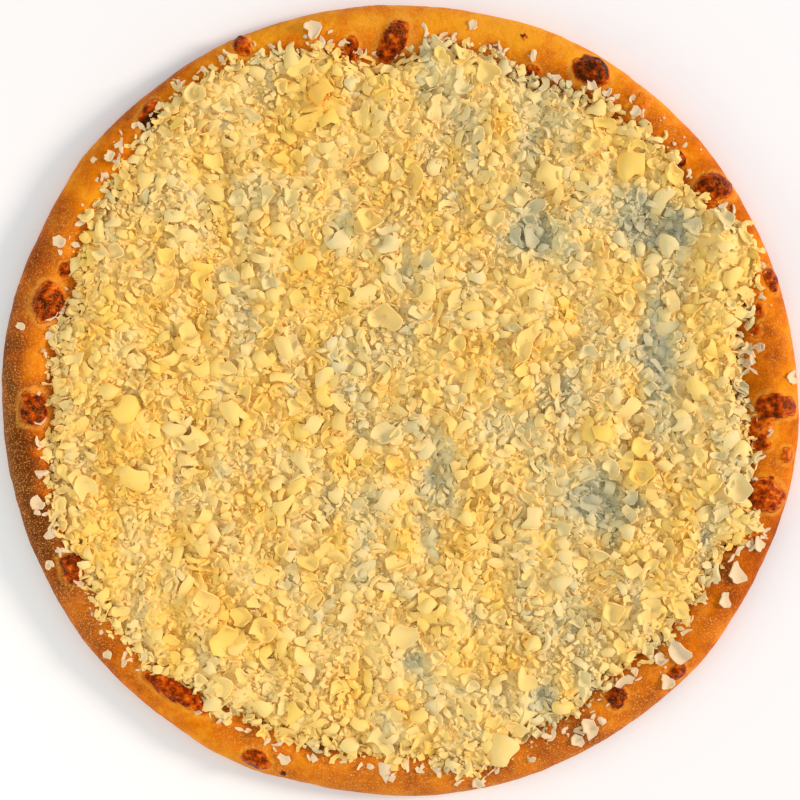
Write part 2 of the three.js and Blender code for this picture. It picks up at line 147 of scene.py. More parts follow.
# Layers of noise, as for the crust: uneven waves of the heap, patches of warmer tint, and where the
# large shavings gather and the small ones don't. Then packed chips on the crumbs, in the same form.
HEAP_WAVES = [(1.0, 10, 51), (0.5, 6, 52)]
WARM_PATCHES = [(1.0, 10, 41), (0.5, 5, 42)]
GATHERING = [(1.6, 16, 31)]
CHIP_LAYERS = [(0.6, 3.6, 0), (0.8, 2.0, 50)]
WAVY = 2.3            # rise of the first of the heap's waves
PATCH_STRETCH = 0.6   # waves and patches of tint are this much narrower across the photo than up it
START_DEPTH = 1.6     # the shavings start to fall this far below the heap's loose top
BED_DEPTH = 0.8       # the crumbs between them lie this far below the settled pile's smoothed top
BED_SMOOTHING = 3.0   # width of the bell that smooths it
BED_INSET = 3.0       # the crumbs' edge stays this far inside the heap's outline
BED_RINGS = 118

# Large shavings, where the solids have them, or a little further out beside the top dent.
CURL_COUNT = 72
CURL_MIN = 8.0
CURL_MAX = 13.0
CURL_PETALS = 0.65    # share of them that are cupped like petals, the others being plain curls
CURL_UPTURNED = 0.65  # share that lie with their hollow side up
CURL_TIP = 40         # width of the range of their tip, in degrees
# Landmarks: x, y, length, width, turn in degrees, roll in degrees.
LANDMARKS = [
    (-6.5, 36, 18, 11, -15, 100), (-118, -4.5, 14, 12, 60, 70), (-116, -35, 16, 12, -50, 70),
    (-76.5, -105, 15, 12, 20, 80), (-59, -100, 14, 11, 110, 120), (-85, -88, 14, 11, 10, 90),
    (146.5, -39, 17, 11, 80, 130), (105, -32, 14, 10, 30, 110), (-6.5, -15, 13, 10, 120, 140),
    (44, -153, 16, 12, 60, 60), (2, -103, 13, 9, 10, 50), (-35, 133, 14, 7, 40, 150),
    (100.5, 103, 13, 12, 5, 60), (65.5, 98, 13, 10, -40, 90), (-9, 103, 11, 9, 70, 80),
    (-92, 28.5, 13, 8, 130, 160),
]

RANDOM = np.random.default_rng(2626)
GOLDEN_ANGLE = math.pi * (3 - math.sqrt(5))    # a full turn less its golden share


# ---- Numbers ----
def smooth(t):
    """3t^2 - 2t^3 between 0 and 1, flat beyond."""
    t = np.clip(t, 0, 1)
    return t * t * (3 - 2 * t)


def waves(table, angle):
    """Sum of size * cos(count * angle + phase)."""
    return sum(size * np.cos(count * angle + math.radians(phase)) for count, size, phase in table)


def lobes(table, angle):
    """Sum of bells round a circle: size * exp(-(turn / half width)^2)."""
    total = np.zeros_like(angle, dtype=float)
    for centre, half_width, size in table:
        turn = angle - math.radians(centre)
        away = np.arctan2(np.sin(turn), np.cos(turn)) / math.radians(half_width)
        total += size * np.exp(-away * away)
    return total


def draw(item, channel):
    """The solids' own repeatable draw: the fraction of sin(12.9898 item + 78.233 channel) * 43758.5453."""
    value = np.sin(item * 12.9898 + channel * 78.233) * 43758.5453
    return value - np.floor(value)


def noise(points, cell, seed):
    """Smooth noise from -1 to 1: a value at each corner of cubes of this size, blended between them."""
    place = points / cell + 31.7 * seed
    corner = np.floor(place).astype(np.int64)
    blend = place - corner
    blend = blend * blend * (3 - 2 * blend)
    total = np.zeros(points.shape[:-1])
    for offset in np.ndindex(2, 2, 2):
        cube = corner + np.array(offset)
        key = cube[..., 0] * 73856093 ^ cube[..., 1] * 19349663 ^ cube[..., 2] * 83492791
        key = (key ^ (key >> 13)) * 1274126177 & 0x7FFFFFFF
        value = (key & 0xFFFF) / 32767.5 - 1
        share = np.where(np.array(offset) == 1, blend, 1 - blend).prod(axis=-1)
        total += value * share
    return total


def polar(radius, angle):
    """x and y of places at this radius and angle."""
    return radius * np.cos(angle), radius * np.sin(angle)


def xyz(x, y, z):
    """Points from three coordinates, each of them an array or one number."""
    return np.stack(np.broadcast_arrays(x, y, z), axis=-1)


def rough(layers, points):
    """Sum of size * noise in cells of the layer's width."""
    return sum(size * noise(points, width, seed) for size, width, seed in layers)


def patch_place(x, y):
    """Points for noise whose patches are longer up the photo than across it."""
    return xyz(x, y * PATCH_STRETCH, 0)


# ---- Forms that the solids share ----
def rim_stretch(angle):
    """How much wider the rim is than plain: (radius with the edge's waves - base) / (radius - base)."""
    return (PIZZA_RADIUS + waves(EDGE_WAVES, angle) - BASE_RADIUS) / (PIZZA_RADIUS - BASE_RADIUS)


def rim_scale(plain_radius, angle):
    """How much higher the rim is than plain: 1 + the crest's waves / its height, fading to the base."""
    climb = smooth((plain_radius - BASE_RADIUS) / (CREST_RADIUS - BASE_RADIUS))
    return 1 + waves(CREST_WAVES, angle) / RIM_HEIGHT * climb


def plain_top(radius):
    """A smooth step from the base up to the crest, then a quarter of an ellipse down to the widest line."""
    climb = smooth((radius - BASE_RADIUS) / (CREST_RADIUS - BASE_RADIUS))
    flank = BASE_THICKNESS + (RIM_HEIGHT - BASE_THICKNESS) * climb
    out = np.clip((radius - CREST_RADIUS) / (PIZZA_RADIUS - CREST_RADIUS), 0, 1)
    shoulder = WIDEST_HEIGHT + (RIM_HEIGHT - WIDEST_HEIGHT) * np.sqrt(1 - out * out)
    return np.where(radius <= CREST_RADIUS, flank, shoulder)


def crust_top(x, y):
    """Height of the crust's upper side, before its blisters and bumps."""
    radius, angle = np.hypot(x, y), np.arctan2(y, x)
    plain_radius = BASE_RADIUS + np.maximum(radius - BASE_RADIUS, 0) / rim_stretch(angle)
    return plain_top(plain_radius) * rim_scale(plain_radius, angle)


def heap_radius(angle):
    """The heap's outline: a circle with lobes."""
    return HEAP_RADIUS + lobes(HEAP_LOBES + LOOSE_LOBES, angle)


def inside_heap(x, y):
    """How far a place lies inside the heap's outline, on a line through the middle."""
    return heap_radius(np.arctan2(y, x)) - np.hypot(x, y)


def bells(table, x, y):
    """Sum of bells: rise * exp(-(x / half width)^2 - (y / half depth)^2)."""
    total = np.zeros(np.shape(x))
    for centre_x, centre_y, half_width, half_depth, rise in table:
        away = ((x - centre_x) / half_width) ** 2 + ((y - centre_y) / half_depth) ** 2
        total = total + rise * np.exp(-away)
    return total


def loose_top(x, y):
    """The heap's mean top with the small forms, and waves about 10 and 6 mm wide."""
    inside = smooth(inside_heap(x, y) / 14)
    rise = bells(SMALL_FORMS, x, y) + WAVY * rough(HEAP_WAVES, patch_place(x, y))
    return heap_top(x, y) + rise * inside


def heap_top(x, y):
    """Mean height of the heap's top: a level that banks up at the rim, hollows, mounds, a sloping edge."""
    inside = np.clip(inside_heap(x, y) / EDGE_SLOPE, 0, 1)
    edge = crust_top(x, y) + GAP + EDGE_THICKNESS
    level = HEAP_LEVEL + BANK_RISE * smooth((np.hypot(x, y) - BANK_START) / (CREST_RADIUS - BANK_START))
    level = level + bells(HEAP_FORMS, x, y)
    return edge + np.maximum(level - edge, 0) * np.sin(inside * math.pi / 2)


# ---- Making a piece ----
def make_piece(name, points, faces, material, stands_for, sharp=None, fields=None):
    """One mesh from points in mm and faces of one size; fields are named numbers for each point."""
    mesh = bpy.data.meshes.new(name)
    corners = faces.shape[1]
    mesh.vertices.add(len(points))
    mesh.vertices.foreach_set("co", (points * MM).astype(np.float32).ravel())
    mesh.loops.add(faces.size)
    mesh.loops.foreach_set("vertex_index", faces.astype(np.int32).ravel())
    mesh.polygons.add(len(faces))
    mesh.polygons.foreach_set("loop_start", np.arange(0, faces.size, corners, dtype=np.int32))
    mesh.update(calc_edges=True)
    mesh.validate()
    mesh.shade_smooth()
    if sharp is not None:
        mesh.set_sharp_from_angle(angle=math.radians(sharp))
    for field, values in (fields or {}).items():
        attribute = mesh.attributes.new(field, "FLOAT", "POINT")
        attribute.data.foreach_set("value", np.asarray(values, dtype=np.float32).ravel())
    mesh.materials.append(material)
    piece = bpy.data.objects.new(name, mesh)
    bpy.context.scene.collection.objects.link(piece)
    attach(piece, "root")
    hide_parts(stands_for)


def make_chocolate(name, points, faces, sharp, tint, stands_for="shavings"):
    """A piece of white chocolate, with a tint for each point and edges sharp above this angle."""
    make_piece(name, points, faces, WHITE_CHOCOLATE, stands_for, sharp, {"tint": tint})


def split(quads):
    """Each quad as two triangles."""
    return np.concatenate([quads[:, [0, 1, 2]], quads[:, [0, 2, 3]]])


def poles_once(rows, around):
    """Which points of a full grid stay when its first and its last row are one point each."""
    return np.concatenate([[0], np.arange(around, (rows - 1) * around + 1)])


def revolved_faces(rows, around):
    """Faces between such rows of points round an axis: a fan, split quads and a fan."""
    index = np.arange(rows * around) - around + 1
    index = np.clip(index, 0, (rows - 2) * around + 1).reshape(rows, around)
    after = np.roll(index, -1, axis=1)
    first_fan = np.stack([index[0], index[1], after[1]], axis=-1)
    quads = np.stack([index[1:-2], index[2:-1], after[2:-1], after[1:-2]], axis=-1).reshape(-1, 4)
    last_fan = np.stack([index[-1], after[-2], index[-2]], axis=-1)
    return np.concatenate([first_fan, split(quads), last_fan])


def repeated_faces(count, points, face):
    """The faces of many alike shapes, each with this number of points."""
    return (np.arange(count)[:, None, None] * points + face).reshape(-1, face.shape[1])


# ---- Materials ----
def colour(hex_code):
    """An sRGB hex colour as a linear one, by the sRGB curve."""
    parts = [int(hex_code[i:i + 2], 16) / 255 for i in (1, 3, 5)]
    return [p / 12.92 if p <= 0.04045 else ((p + 0.055) / 1.055) ** 2.4 for p in parts] + [1.0]


def add(tree, kind, settings=None, inputs=None, stops=()):
    """Adds a node, sets its properties, sockets and (place, hex colour) stops, and links the sockets
    that are given an output."""
    node = tree.nodes.new(kind)
    for key, value in (settings or {}).items():
        setattr(node, key, value)
    while stops and len(node.color_ramp.elements) < len(stops):
        node.color_ramp.elements.new(1.0)
    for number, (place, hex_code) in enumerate(stops):
        node.color_ramp.elements[number].position = place
        node.color_ramp.elements[number].color = colour(hex_code)
    for key, value in (inputs or {}).items():
        if isinstance(value, bpy.types.NodeSocket):
            tree.links.new(value, node.inputs[key])
        else:
            node.inputs[key].default_value = value
    return node


def new_material(name):
    """A material without nodes, and its node tree."""
    material = bpy.data.materials.new(name)
    material.use_nodes = True
    material.node_tree.nodes.clear()
    return material, material.node_tree


def white_chocolate():
    """White chocolate shaved off a block: cocoa butter and milk, ivory on the cool rim, yellow, and greyer
    as painted shade in the hollows and on the heap's right. Waxy and dented."""
    material, tree = new_material("white_chocolate_shaved")
    place = add(tree, "ShaderNodeTexCoord").outputs["Object"]
    tint = add(tree, "ShaderNodeAttribute", {"attribute_name": "tint"}).outputs["Fac"]
    # milk solids spread unevenly, seen as patches about 4 mm wide
    patches = add(tree, "ShaderNodeTexNoise", None,
                  {"Vector": place, "Scale": 1 / (4 * MM), "Detail": 2.0}).outputs["Fac"]
    level = add(tree, "ShaderNodeMath", {"operation": "MULTIPLY_ADD"},
                {0: patches, 1: 0.24, 2: tint}).outputs["Value"]
    share = add(tree, "ShaderNodeMath", {"operation": "MULTIPLY"},
                {0: level, 1: 1 / WARMEST_TINT}).outputs["Value"]
    # the greyest stop, at 0.14, is the painted shade of the shavings in the hollows and on the heap's right
    tones = [(0.02, "#EED2A8"), (0.14, "#C7C09C"), (0.4, "#ECD89C"), (0.66, "#FDDB88"), (1.0, "#FFD568"),
             (1.2, "#FFD062"), (WARMEST_TINT, "#FFB84E")]
    base = add(tree, "ShaderNodeValToRGB", None, {"Fac": share},
               [(tint_level / WARMEST_TINT, tone) for tint_level, tone in tones]).outputs["Color"]
    # the blade drags the surface into dents about 1.6 mm wide, and finer grain on them
    dents = add(tree, "ShaderNodeTexNoise", None,
                {"Vector": place, "Scale": 1 / (1.6 * MM), "Detail": 3.0, "Roughness": 0.5}).outputs["Fac"]
    bump = add(tree, "ShaderNodeBump", None,
               {"Height": dents, "Strength": 0.4, "Distance": 0.5 * MM}).outputs["Normal"]
    shader = add(tree, "ShaderNodeBsdfPrincipled", None, {
        "Base Color": base, "Roughness": 0.5, "IOR": 1.4, "Specular IOR Level": 0.3, "Normal": bump})
    add(tree, "ShaderNodeOutputMaterial", None, {"Surface": shader.outputs["BSDF"]})
    return material


def grains(tree, place, cell, size, share):
    """Mask of scattered grains: in each cell of a Voronoi pattern a dot of this size in cell widths,
    in the share of the cells that the cell's own colour picks."""
    cells = add(tree, "ShaderNodeTexVoronoi", {"feature": "F1"}, {"Vector": place, "Scale": 1 / (cell * MM)})
    pick = add(tree, "ShaderNodeSeparateColor", None, {"Color": cells.outputs["Color"]}).outputs["Red"]
    dot = add(tree, "ShaderNodeMapRange", {"interpolation_type": "SMOOTHSTEP"},
              {"Value": cells.outputs["Distance"], "From Min": size * 0.6, "From Max": size,
               "To Min": 1.0, "To Max": 0.0}).outputs["Result"]
    chosen = add(tree, "ShaderNodeMath", {"operation": "LESS_THAN"}, {0: pick, 1: share}).outputs["Value"]
    return add(tree, "ShaderNodeMath", {"operation": "MULTIPLY"}, {0: dot, 1: chosen}).outputs["Value"]


def baked_dough():
    """Wheat dough baked on stone: satin golden crust that browns in patches, blisters that scorch to
    a glossy red brown, with painted highlight on their knobs and painted shade between them, inside a pale
    ring that is partly painted highlight, and flour and semolina that cling to it as pale grains."""
    material, tree = new_material("baked_wheat_crust")
    place = add(tree, "ShaderNodeTexCoord").outputs["Object"]
    brown = add(tree, "ShaderNodeAttribute", {"attribute_name": "browning"}).outputs["Fac"]
    scorch = add(tree, "ShaderNodeAttribute", {"attribute_name": "scorch"}).outputs["Fac"]
    ring = add(tree, "ShaderNodeAttribute", {"attribute_name": "pale_lit_ring"}).outputs["Fac"]
    dust = add(tree, "ShaderNodeAttribute", {"attribute_name": "dust"}).outputs["Fac"]
    # uneven browning in patches 14 mm and 2.5 mm wide
    patches = add(tree, "ShaderNodeTexNoise", None,
                  {"Vector": place, "Scale": 1 / (14 * MM), "Detail": 3.0}).outputs["Fac"]
    mottle = add(tree, "ShaderNodeTexNoise", None,
                 {"Vector": place, "Scale": 1 / (2.5 * MM), "Detail": 4.0, "Roughness": 0.6}).outputs["Fac"]
    patched = add(tree, "ShaderNodeMath", {"operation": "MULTIPLY_ADD"},
                  {0: patches, 1: 0.9, 2: brown}).outputs["Value"]
    level = add(tree, "ShaderNodeMath", {"operation": "MULTIPLY_ADD"},
                {0: mottle, 1: 0.35, 2: patched}).outputs["Value"]
    crust = add(tree, "ShaderNodeValToRGB", None, {"Fac": level}, [
        (0.28, "#F49E16"), (0.5, "#E07602"), (0.75, "#AC4A02"), (1.0, "#682802")]).outputs["Color"]
    # a thin film of flour, and a pale ring round each blister: paler dough, and painted highlight where the
    # crust rises to the blister
    film_edge = add(tree, "ShaderNodeMath", {"operation": "MULTIPLY_ADD"},
                    {0: mottle, 1: 1.6, 2: dust}).outputs["Value"]
    film = add(tree, "ShaderNodeMapRange", {"interpolation_type": "SMOOTHSTEP"},
               {"Value": film_edge, "From Min": 1.2, "From Max": 2.2, "To Max": 0.14}).outputs["Result"]
    floured = add(tree, "ShaderNodeMix", {"data_type": "RGBA"},
                  {0: film, 6: crust, 7: colour("#CF9048")}).outputs[2]
    broken_lit_ring = add(tree, "ShaderNodeMath", {"operation": "MULTIPLY"},
                    {0: ring, 1: patches}).outputs["Value"]
    ringed_and_lit = add(tree, "ShaderNodeMix", {"data_type": "RGBA"},
                 {0: broken_lit_ring, 6: floured, 7: colour("#FBAE40")}).outputs[2]
    # blisters: knobbly, 3 mm apart, scorched red brown to nearly black, with painted highlight on top of
    # each knob and painted shade between them
    knobs = add(tree, "ShaderNodeTexNoise", None,
                {"Vector": place, "Scale": 1 / (3.0 * MM), "Detail": 1.5, "Roughness": 0.5}).outputs["Fac"]
    knobbly = add(tree, "ShaderNodeMath", {"operation": "MULTIPLY_ADD"},
                 {0: knobs, 1: 0.5, 2: scorch}).outputs["Value"]
    blister = add(tree, "ShaderNodeMapRange", {"interpolation_type": "SMOOTHSTEP"},
                  {"Value": knobbly, "From Min": 0.55, "From Max": 0.75}).outputs["Result"]
    char_with_knob_shading = add(tree, "ShaderNodeMath", {"operation": "MULTIPLY_ADD"},
                   {0: knobs, 1: -1.8, 2: scorch}).outputs["Value"]
    knob_shaded_char = add(tree, "ShaderNodeMath", {"operation": "ADD"}, {0: char_with_knob_shading, 1: 0.77}).outputs["Value"]
    burnt_with_knob_light = add(tree, "ShaderNodeValToRGB", None, {"Fac": knob_shaded_char}, [
        (0.15, "#EC781C"), (0.42, "#BC4400"), (0.68, "#822400"), (0.95, "#3E1004")]).outputs["Color"]
    blistered = add(tree, "ShaderNodeMix", {"data_type": "RGBA"},
                    {0: blister, 6: ringed_and_lit, 7: burnt_with_knob_light}).outputs[2]
    # semolina grains 0.7 mm wide and specks of flour, thicker where dust is, thinner on the blisters
    coarse = grains(tree, place, 2.4, 0.15, 0.35)
    dusting = add(tree, "ShaderNodeTexNoise", None, {
        "Vector": place, "Scale": 1 / (0.75 * MM), "Detail": 2.0, "Roughness": 0.7}).outputs["Fac"]
    fine = add(tree, "ShaderNodeMapRange", {"interpolation_type": "SMOOTHSTEP"},
               {"Value": dusting, "From Min": 0.53, "From Max": 0.64, "To Max": 0.9}).outputs["Result"]
    loose = add(tree, "ShaderNodeMath", {"operation": "MAXIMUM"}, {0: coarse, 1: fine}).outputs["Value"]
    lying = add(tree, "ShaderNodeMapRange", None,
                {"Value": dust, "From Max": 1.0, "To Min": 0.1, "To Max": 0.7}).outputs["Result"]
    grain = add(tree, "ShaderNodeMath", {"operation": "MULTIPLY"}, {0: loose, 1: lying}).outputs["Value"]
    clear_of_blister = add(tree, "ShaderNodeMapRange", None,
                           {"Value": blister, "To Min": 1.0, "To Max": 0.35}).outputs["Result"]
    kept = add(tree, "ShaderNodeMath", {"operation": "MULTIPLY"},
               {0: grain, 1: clear_of_blister}).outputs["Value"]
    dusted = add(tree, "ShaderNodeMix", {"data_type": "RGBA"},
                 {0: kept, 6: blistered, 7: colour("#EFB05C")}).outputs[2]
    wrinkled = add(tree, "ShaderNodeMath", {"operation": "MULTIPLY"},
                   {0: knobs, 1: blister}).outputs["Value"]
    relief = add(tree, "ShaderNodeMath", {"operation": "MULTIPLY_ADD"},
                 {0: wrinkled, 1: 2.2, 2: mottle}).outputs["Value"]
    bump = add(tree, "ShaderNodeBump", None,
               {"Height": relief, "Strength": 0.8, "Distance": 0.8 * MM}).outputs["Normal"]
    gloss = add(tree, "ShaderNodeMapRange", None,
                {"Value": blister, "To Min": 0.62, "To Max": 0.24}).outputs["Result"]
    shader = add(tree, "ShaderNodeBsdfPrincipled", None, {
        "Base Color": dusted, "Roughness": gloss, "IOR": 1.4, "Specular IOR Level": 0.25,
        "Specular Tint": (1.0, 0.5, 0.06, 1.0), "Normal": bump})
    add(tree, "ShaderNodeOutputMaterial", None, {"Surface": shader.outputs["BSDF"]})
    return material


def oven_browned_cream():
    """Sweet cream spread before baking: pale tan, satin, set into small wrinkles by the oven."""
    material, tree = new_material("sweet_cream_baked")
    place = add(tree, "ShaderNodeTexCoord").outputs["Object"]
    patches = add(tree, "ShaderNodeTexNoise", None,
                  {"Vector": place, "Scale": 1 / (5 * MM), "Detail": 4.0}).outputs["Fac"]
    base = add(tree, "ShaderNodeValToRGB", None, {"Fac": patches}, [
        (0.3, "#C99A4A"), (0.5, "#DDB569"), (0.75, "#EACB8B")]).outputs["Color"]
    wrinkles = add(tree, "ShaderNodeTexNoise", None, {
        "Vector": place, "Scale": 1 / (1.6 * MM), "Detail": 3.0, "Distortion": 0.6}).outputs["Fac"]
    bump = add(tree, "ShaderNodeBump", None,
               {"Height": wrinkles, "Strength": 0.6, "Distance": 0.4 * MM}).outputs["Normal"]
    shader = add(tree, "ShaderNodeBsdfPrincipled", None, {
        "Base Color": base, "Roughness": 0.4, "IOR": 1.45, "Normal": bump})
    add(tree, "ShaderNodeOutputMaterial", None, {"Surface": shader.outputs["BSDF"]})
    return material


def studio_floor():
    """Plain matt white board under the pizza."""
    material, tree = new_material("matt_white_board")
    shader = add(tree, "ShaderNodeBsdfPrincipled", None,
                 {"Base Color": colour("#FBFBFD"), "Roughness": 0.9})
    add(tree, "ShaderNodeOutputMaterial", None, {"Surface": shader.outputs["BSDF"]})
    return material


WHITE_CHOCOLATE = white_chocolate()
DOUGH = baked_dough()
CREAM = oven_browned_cream()


# ---- Crust ----
CRUST_AROUND = 860
FLANK_ROWS, SHOULDER_ROWS, HEEL_ROWS = 24, 16, 9
BASE_STEPS = (0, 90, 130)
UNDER_STEPS = (160, 120, 60, 0)
LUMPS_FROM, LUMPS_FULL = 130, 142     # radius where the rim's lumps begin, and where they are full
# the flank's browning is partly painted shade, on its left side
FLANK_FROM, FLANK_FULL = 157, 169     # the same for the browning of its flank


def quarter_turn(rows):
    """Sine and cosine of equal steps up to a quarter turn."""
    turn = np.linspace(0, math.pi / 2, rows + 1)[1:]
    return np.sin(turn), np.cos(turn)


def crust_profile():
    """Radius and height of the plain profile, from the middle of the top out and back under it: the
    base, the flank, and a quarter of an ellipse each down to the widest line and in to the foot."""
    base = np.array([[radius, BASE_THICKNESS] for radius in BASE_STEPS])
    flank_radius = np.linspace(BASE_RADIUS - 3, CREST_RADIUS, FLANK_ROWS)
    flank = np.stack([flank_radius, plain_top(flank_radius)], axis=-1)
    sine, cosine = quarter_turn(SHOULDER_ROWS)
    shoulder = np.stack([CREST_RADIUS + (PIZZA_RADIUS - CREST_RADIUS) * sine,
                         WIDEST_HEIGHT + (RIM_HEIGHT - WIDEST_HEIGHT) * cosine], axis=-1)
    sine, cosine = quarter_turn(HEEL_ROWS)
    heel = np.stack([FOOT_RADIUS + (PIZZA_RADIUS - FOOT_RADIUS) * cosine,
                     WIDEST_HEIGHT - WIDEST_HEIGHT * sine], axis=-1)
    under = np.array([[radius, 0] for radius in UNDER_STEPS])
    return np.concatenate([base, flank, shoulder, heel, under])


def blister_field(points, out, normal):
    """Height, scorch and pale ring of the blisters, the ring being partly painted highlight. Each is half an
    ellipsoid on the crust's own slope: rise * sqrt(1 - d^2) inside d = 1, where d is the uneven distance
    from its middle in half sizes, out across the rim, round it, and into the dough. The scorch is full
    inside d = 0.85 and gone at 1.3, and the ring is a bell round d = 1.28."""
    height, scorch, ring = np.zeros((3,) + points.shape[:-1])
    wobble = rough(BLISTER_WOBBLE, points)
    flat = points.reshape(-1, 3)
    for degrees, radius, across, along, rise, dark in BLISTERS + SMALL_BLISTERS + SCORCHES:
        angle = math.radians(degrees)
        middle = np.array([radius * math.cos(angle), radius * math.sin(angle), 0.0])
        middle[2] = crust_top(middle[0], middle[1])
        nearest = np.argmin(((flat - middle) ** 2).sum(-1))
        outward, upward = out.reshape(-1, 3)[nearest], normal.reshape(-1, 3)[nearest]
        round_rim = np.cross(upward, outward)
        lean = math.radians(LEANS.get(degrees, 0))
        outward, round_rim = (outward * math.cos(lean) + round_rim * math.sin(lean),
                              round_rim * math.cos(lean) - outward * math.sin(lean))
        away = points - middle
        half_sizes = ((outward, across / 2), (round_rim, along / 2), (upward, 0.5 * min(across, along)))
        distance = np.sqrt(sum(((away @ line) / half) ** 2 for line, half in half_sizes)) + wobble
        height = np.maximum(height, rise * np.sqrt(np.clip(1 - distance * distance, 0, 1)))
        scorch = np.maximum(scorch, dark * smooth((1.3 - distance) / 0.45))
        ring = np.maximum(ring, np.exp(-((distance - 1.28) / 0.12) ** 2))
    return height, scorch, ring


def make_crust():
    """The profile carried round, pushed out along its normal by lumps, blisters and their crinkles.
    It is browner by the tables of browning, its left outer flank darker as painted shade, and towards its
    foot, and dusty by that of dusting."""
    profile = crust_profile()
    angle = np.linspace(0, 2 * math.pi, CRUST_AROUND, endpoint=False)[None, :]
    plain_radius, plain_height = profile[:, 0, None], profile[:, 1, None]
    stretched = BASE_RADIUS + (plain_radius - BASE_RADIUS) * rim_stretch(angle)
    radius = np.where(plain_radius > BASE_RADIUS, stretched, plain_radius)
    height = plain_height * rim_scale(plain_radius, angle)
    points = xyz(*polar(radius, angle), height)
    out = np.gradient(points, axis=0)
    out /= np.maximum(np.linalg.norm(out, axis=-1, keepdims=True), 1e-9)
    normal = np.cross(out, xyz(-np.sin(angle), np.cos(angle), 0))
    blister_height, scorch, ring = blister_field(points, out, normal)
    on_rim = smooth(height / 3.0) * smooth((plain_radius - LUMPS_FROM) / (LUMPS_FULL - LUMPS_FROM))
    crinkle = rough(CRINKLES, points) * np.minimum(blister_height, 1.2) * 0.6
    push = on_rim * rough(LUMPS, points) + blister_height + crinkle
    points = points + normal * (push * (plain_height > 0))[..., None]
    tone = 0.5 * noise(points, 30, 8) + 0.2
    browning = -0.10 + 0.30 * lobes(BROWNINGS, angle) + 0.2 * tone
    on_flank = smooth((plain_radius - FLANK_FROM) / (FLANK_FULL - FLANK_FROM))
    # the outer flank: browning, and painted shade on its left side, away from the light
    browning = browning + lobes(FLANK_BROWNING_AND_SHADE, angle) * on_flank
    browning = browning + 0.2 * smooth((6 - height) / 6)
    dust = np.clip(0.25 + lobes(DUSTINGS, angle) + 0.5 * noise(points, 12, 9), 0, 1.2)
    keep = poles_once(len(profile), CRUST_AROUND)
    fields = {"scorch": scorch, "pale_lit_ring": ring, "browning": browning, "dust": dust}
    fields = {name: values.ravel()[keep] for name, values in fields.items()}
    make_piece("crust_baked", points.reshape(-1, 3)[keep], revolved_faces(len(profile), CRUST_AROUND),
               DOUGH, "crust", None, fields)


# ---- Cream ----
CREAM_AROUND = 540
CREAM_SHARES = (0.0, 0.6, 0.85, 0.9, 0.93, 0.95, 0.965, 0.98, 0.99, 0.997, 1.0)  # of the radius, on top
UNDER_SHARES = (0.997, 0.97, 0.94, 0.9, 0.85, 0.0)                               # and back underneath


def make_cream():
    """Two skins over the base: height of the crust plus the gap, and that plus the thickness, which
    falls off at the edge; the outline is a circle with two tongues that creep up the rim."""
    angle = np.linspace(0, 2 * math.pi, CREAM_AROUND, endpoint=False)[None, :]
    ragged = 0.8 * noise(xyz(*polar(60, angle), 0), 2.5, 11)
    outline = CREAM_RADIUS + lobes(CREAM_TONGUES, angle) + ragged - 0.8
    top_share, under_share = np.array(CREAM_SHARES)[:, None], np.array(UNDER_SHARES)[:, None]
    share = np.concatenate([top_share, under_share])
    x, y = polar(share * outline, angle)
    edge = np.sqrt(np.clip(1 - smooth((top_share - 0.97) / 0.03) ** 2, 0, 1))
    ripple = 0.12 * noise(xyz(x, y, 0), 4, 12)[:len(top_share)]
    thickness = np.concatenate([(CREAM_THICKNESS + ripple) * edge * 0.9 + 0.1,
                                np.zeros_like(under_share * angle)])
    points = xyz(x, y, crust_top(x, y) + GAP + thickness).reshape(-1, 3)
    keep = poles_once(len(share), CREAM_AROUND)
    make_piece("cream_spread", points[keep], revolved_faces(len(share), CREAM_AROUND), CREAM,
               "cream_layer")


# ---- The pile: how high the heap stands in square cells, as it grows ----
PILE_CELL = 0.6
PILE_HALF = 178.0
PILE_SIDE = int(2 * PILE_HALF / PILE_CELL)


def pile_index(x, y):
    """The flat number of the cell that a place lies in."""
    column = np.clip(((x + PILE_HALF) / PILE_CELL).astype(np.int64), 0, PILE_SIDE - 2)
    row = np.clip(((y + PILE_HALF) / PILE_CELL).astype(np.int64), 0, PILE_SIDE - 2)
    return column * PILE_SIDE + row


def cell_centres(left_out=0):
    """x and y of the middles of the cells, without this many at each side."""
    line = (np.arange(left_out, PILE_SIDE - left_out) + 0.5) * PILE_CELL - PILE_HALF
    return np.meshgrid(line, line, indexing="ij")


def start_pile():
    """Height of the crust, and of what the shavings fall on."""
    x, y = cell_centres()
    crust = np.where(np.hypot(x, y) < PIZZA_RADIUS, crust_top(x, y), 0.0)
    start = np.maximum(loose_top(x, y) - START_DEPTH, crust + GAP)
    return crust, np.where(inside_heap(x, y) > BED_INSET, start, crust)


CRUST_UNDER_PILE, PILE_AT_START = start_pile()
PILE = PILE_AT_START.flatten()


# ---- Bed of packed crumbs under the shavings ----
def chip_relief(x, y, cell, seed):
    """Relief of packed chips: each point takes the tilted plane of the nearest of many scattered
    middles, one in each square of this size."""
    column, row = np.floor(x / cell), np.floor(y / cell)
    best = np.full(x.shape, np.inf)
    relief = np.zeros(x.shape)
    for shift_x in (-1, 0, 1):
        for shift_y in (-1, 0, 1):
            key = (column + shift_x) * 157.0 + (row + shift_y) * 311.0 + seed
            middle_x = (column + shift_x + draw(key, 1)) * cell
            middle_y = (row + shift_y + draw(key, 2)) * cell
            away_x, away_y = x - middle_x, y - middle_y
            distance = away_x ** 2 + away_y ** 2
            rise, slope_x, slope_y = (draw(key, channel) - 0.5 for channel in (3, 4, 5))
            plane = rise + slope_x * away_x + slope_y * away_y
            closer = distance < best
            best = np.where(closer, distance, best)
            relief = np.where(closer, plane, relief)
    return relief


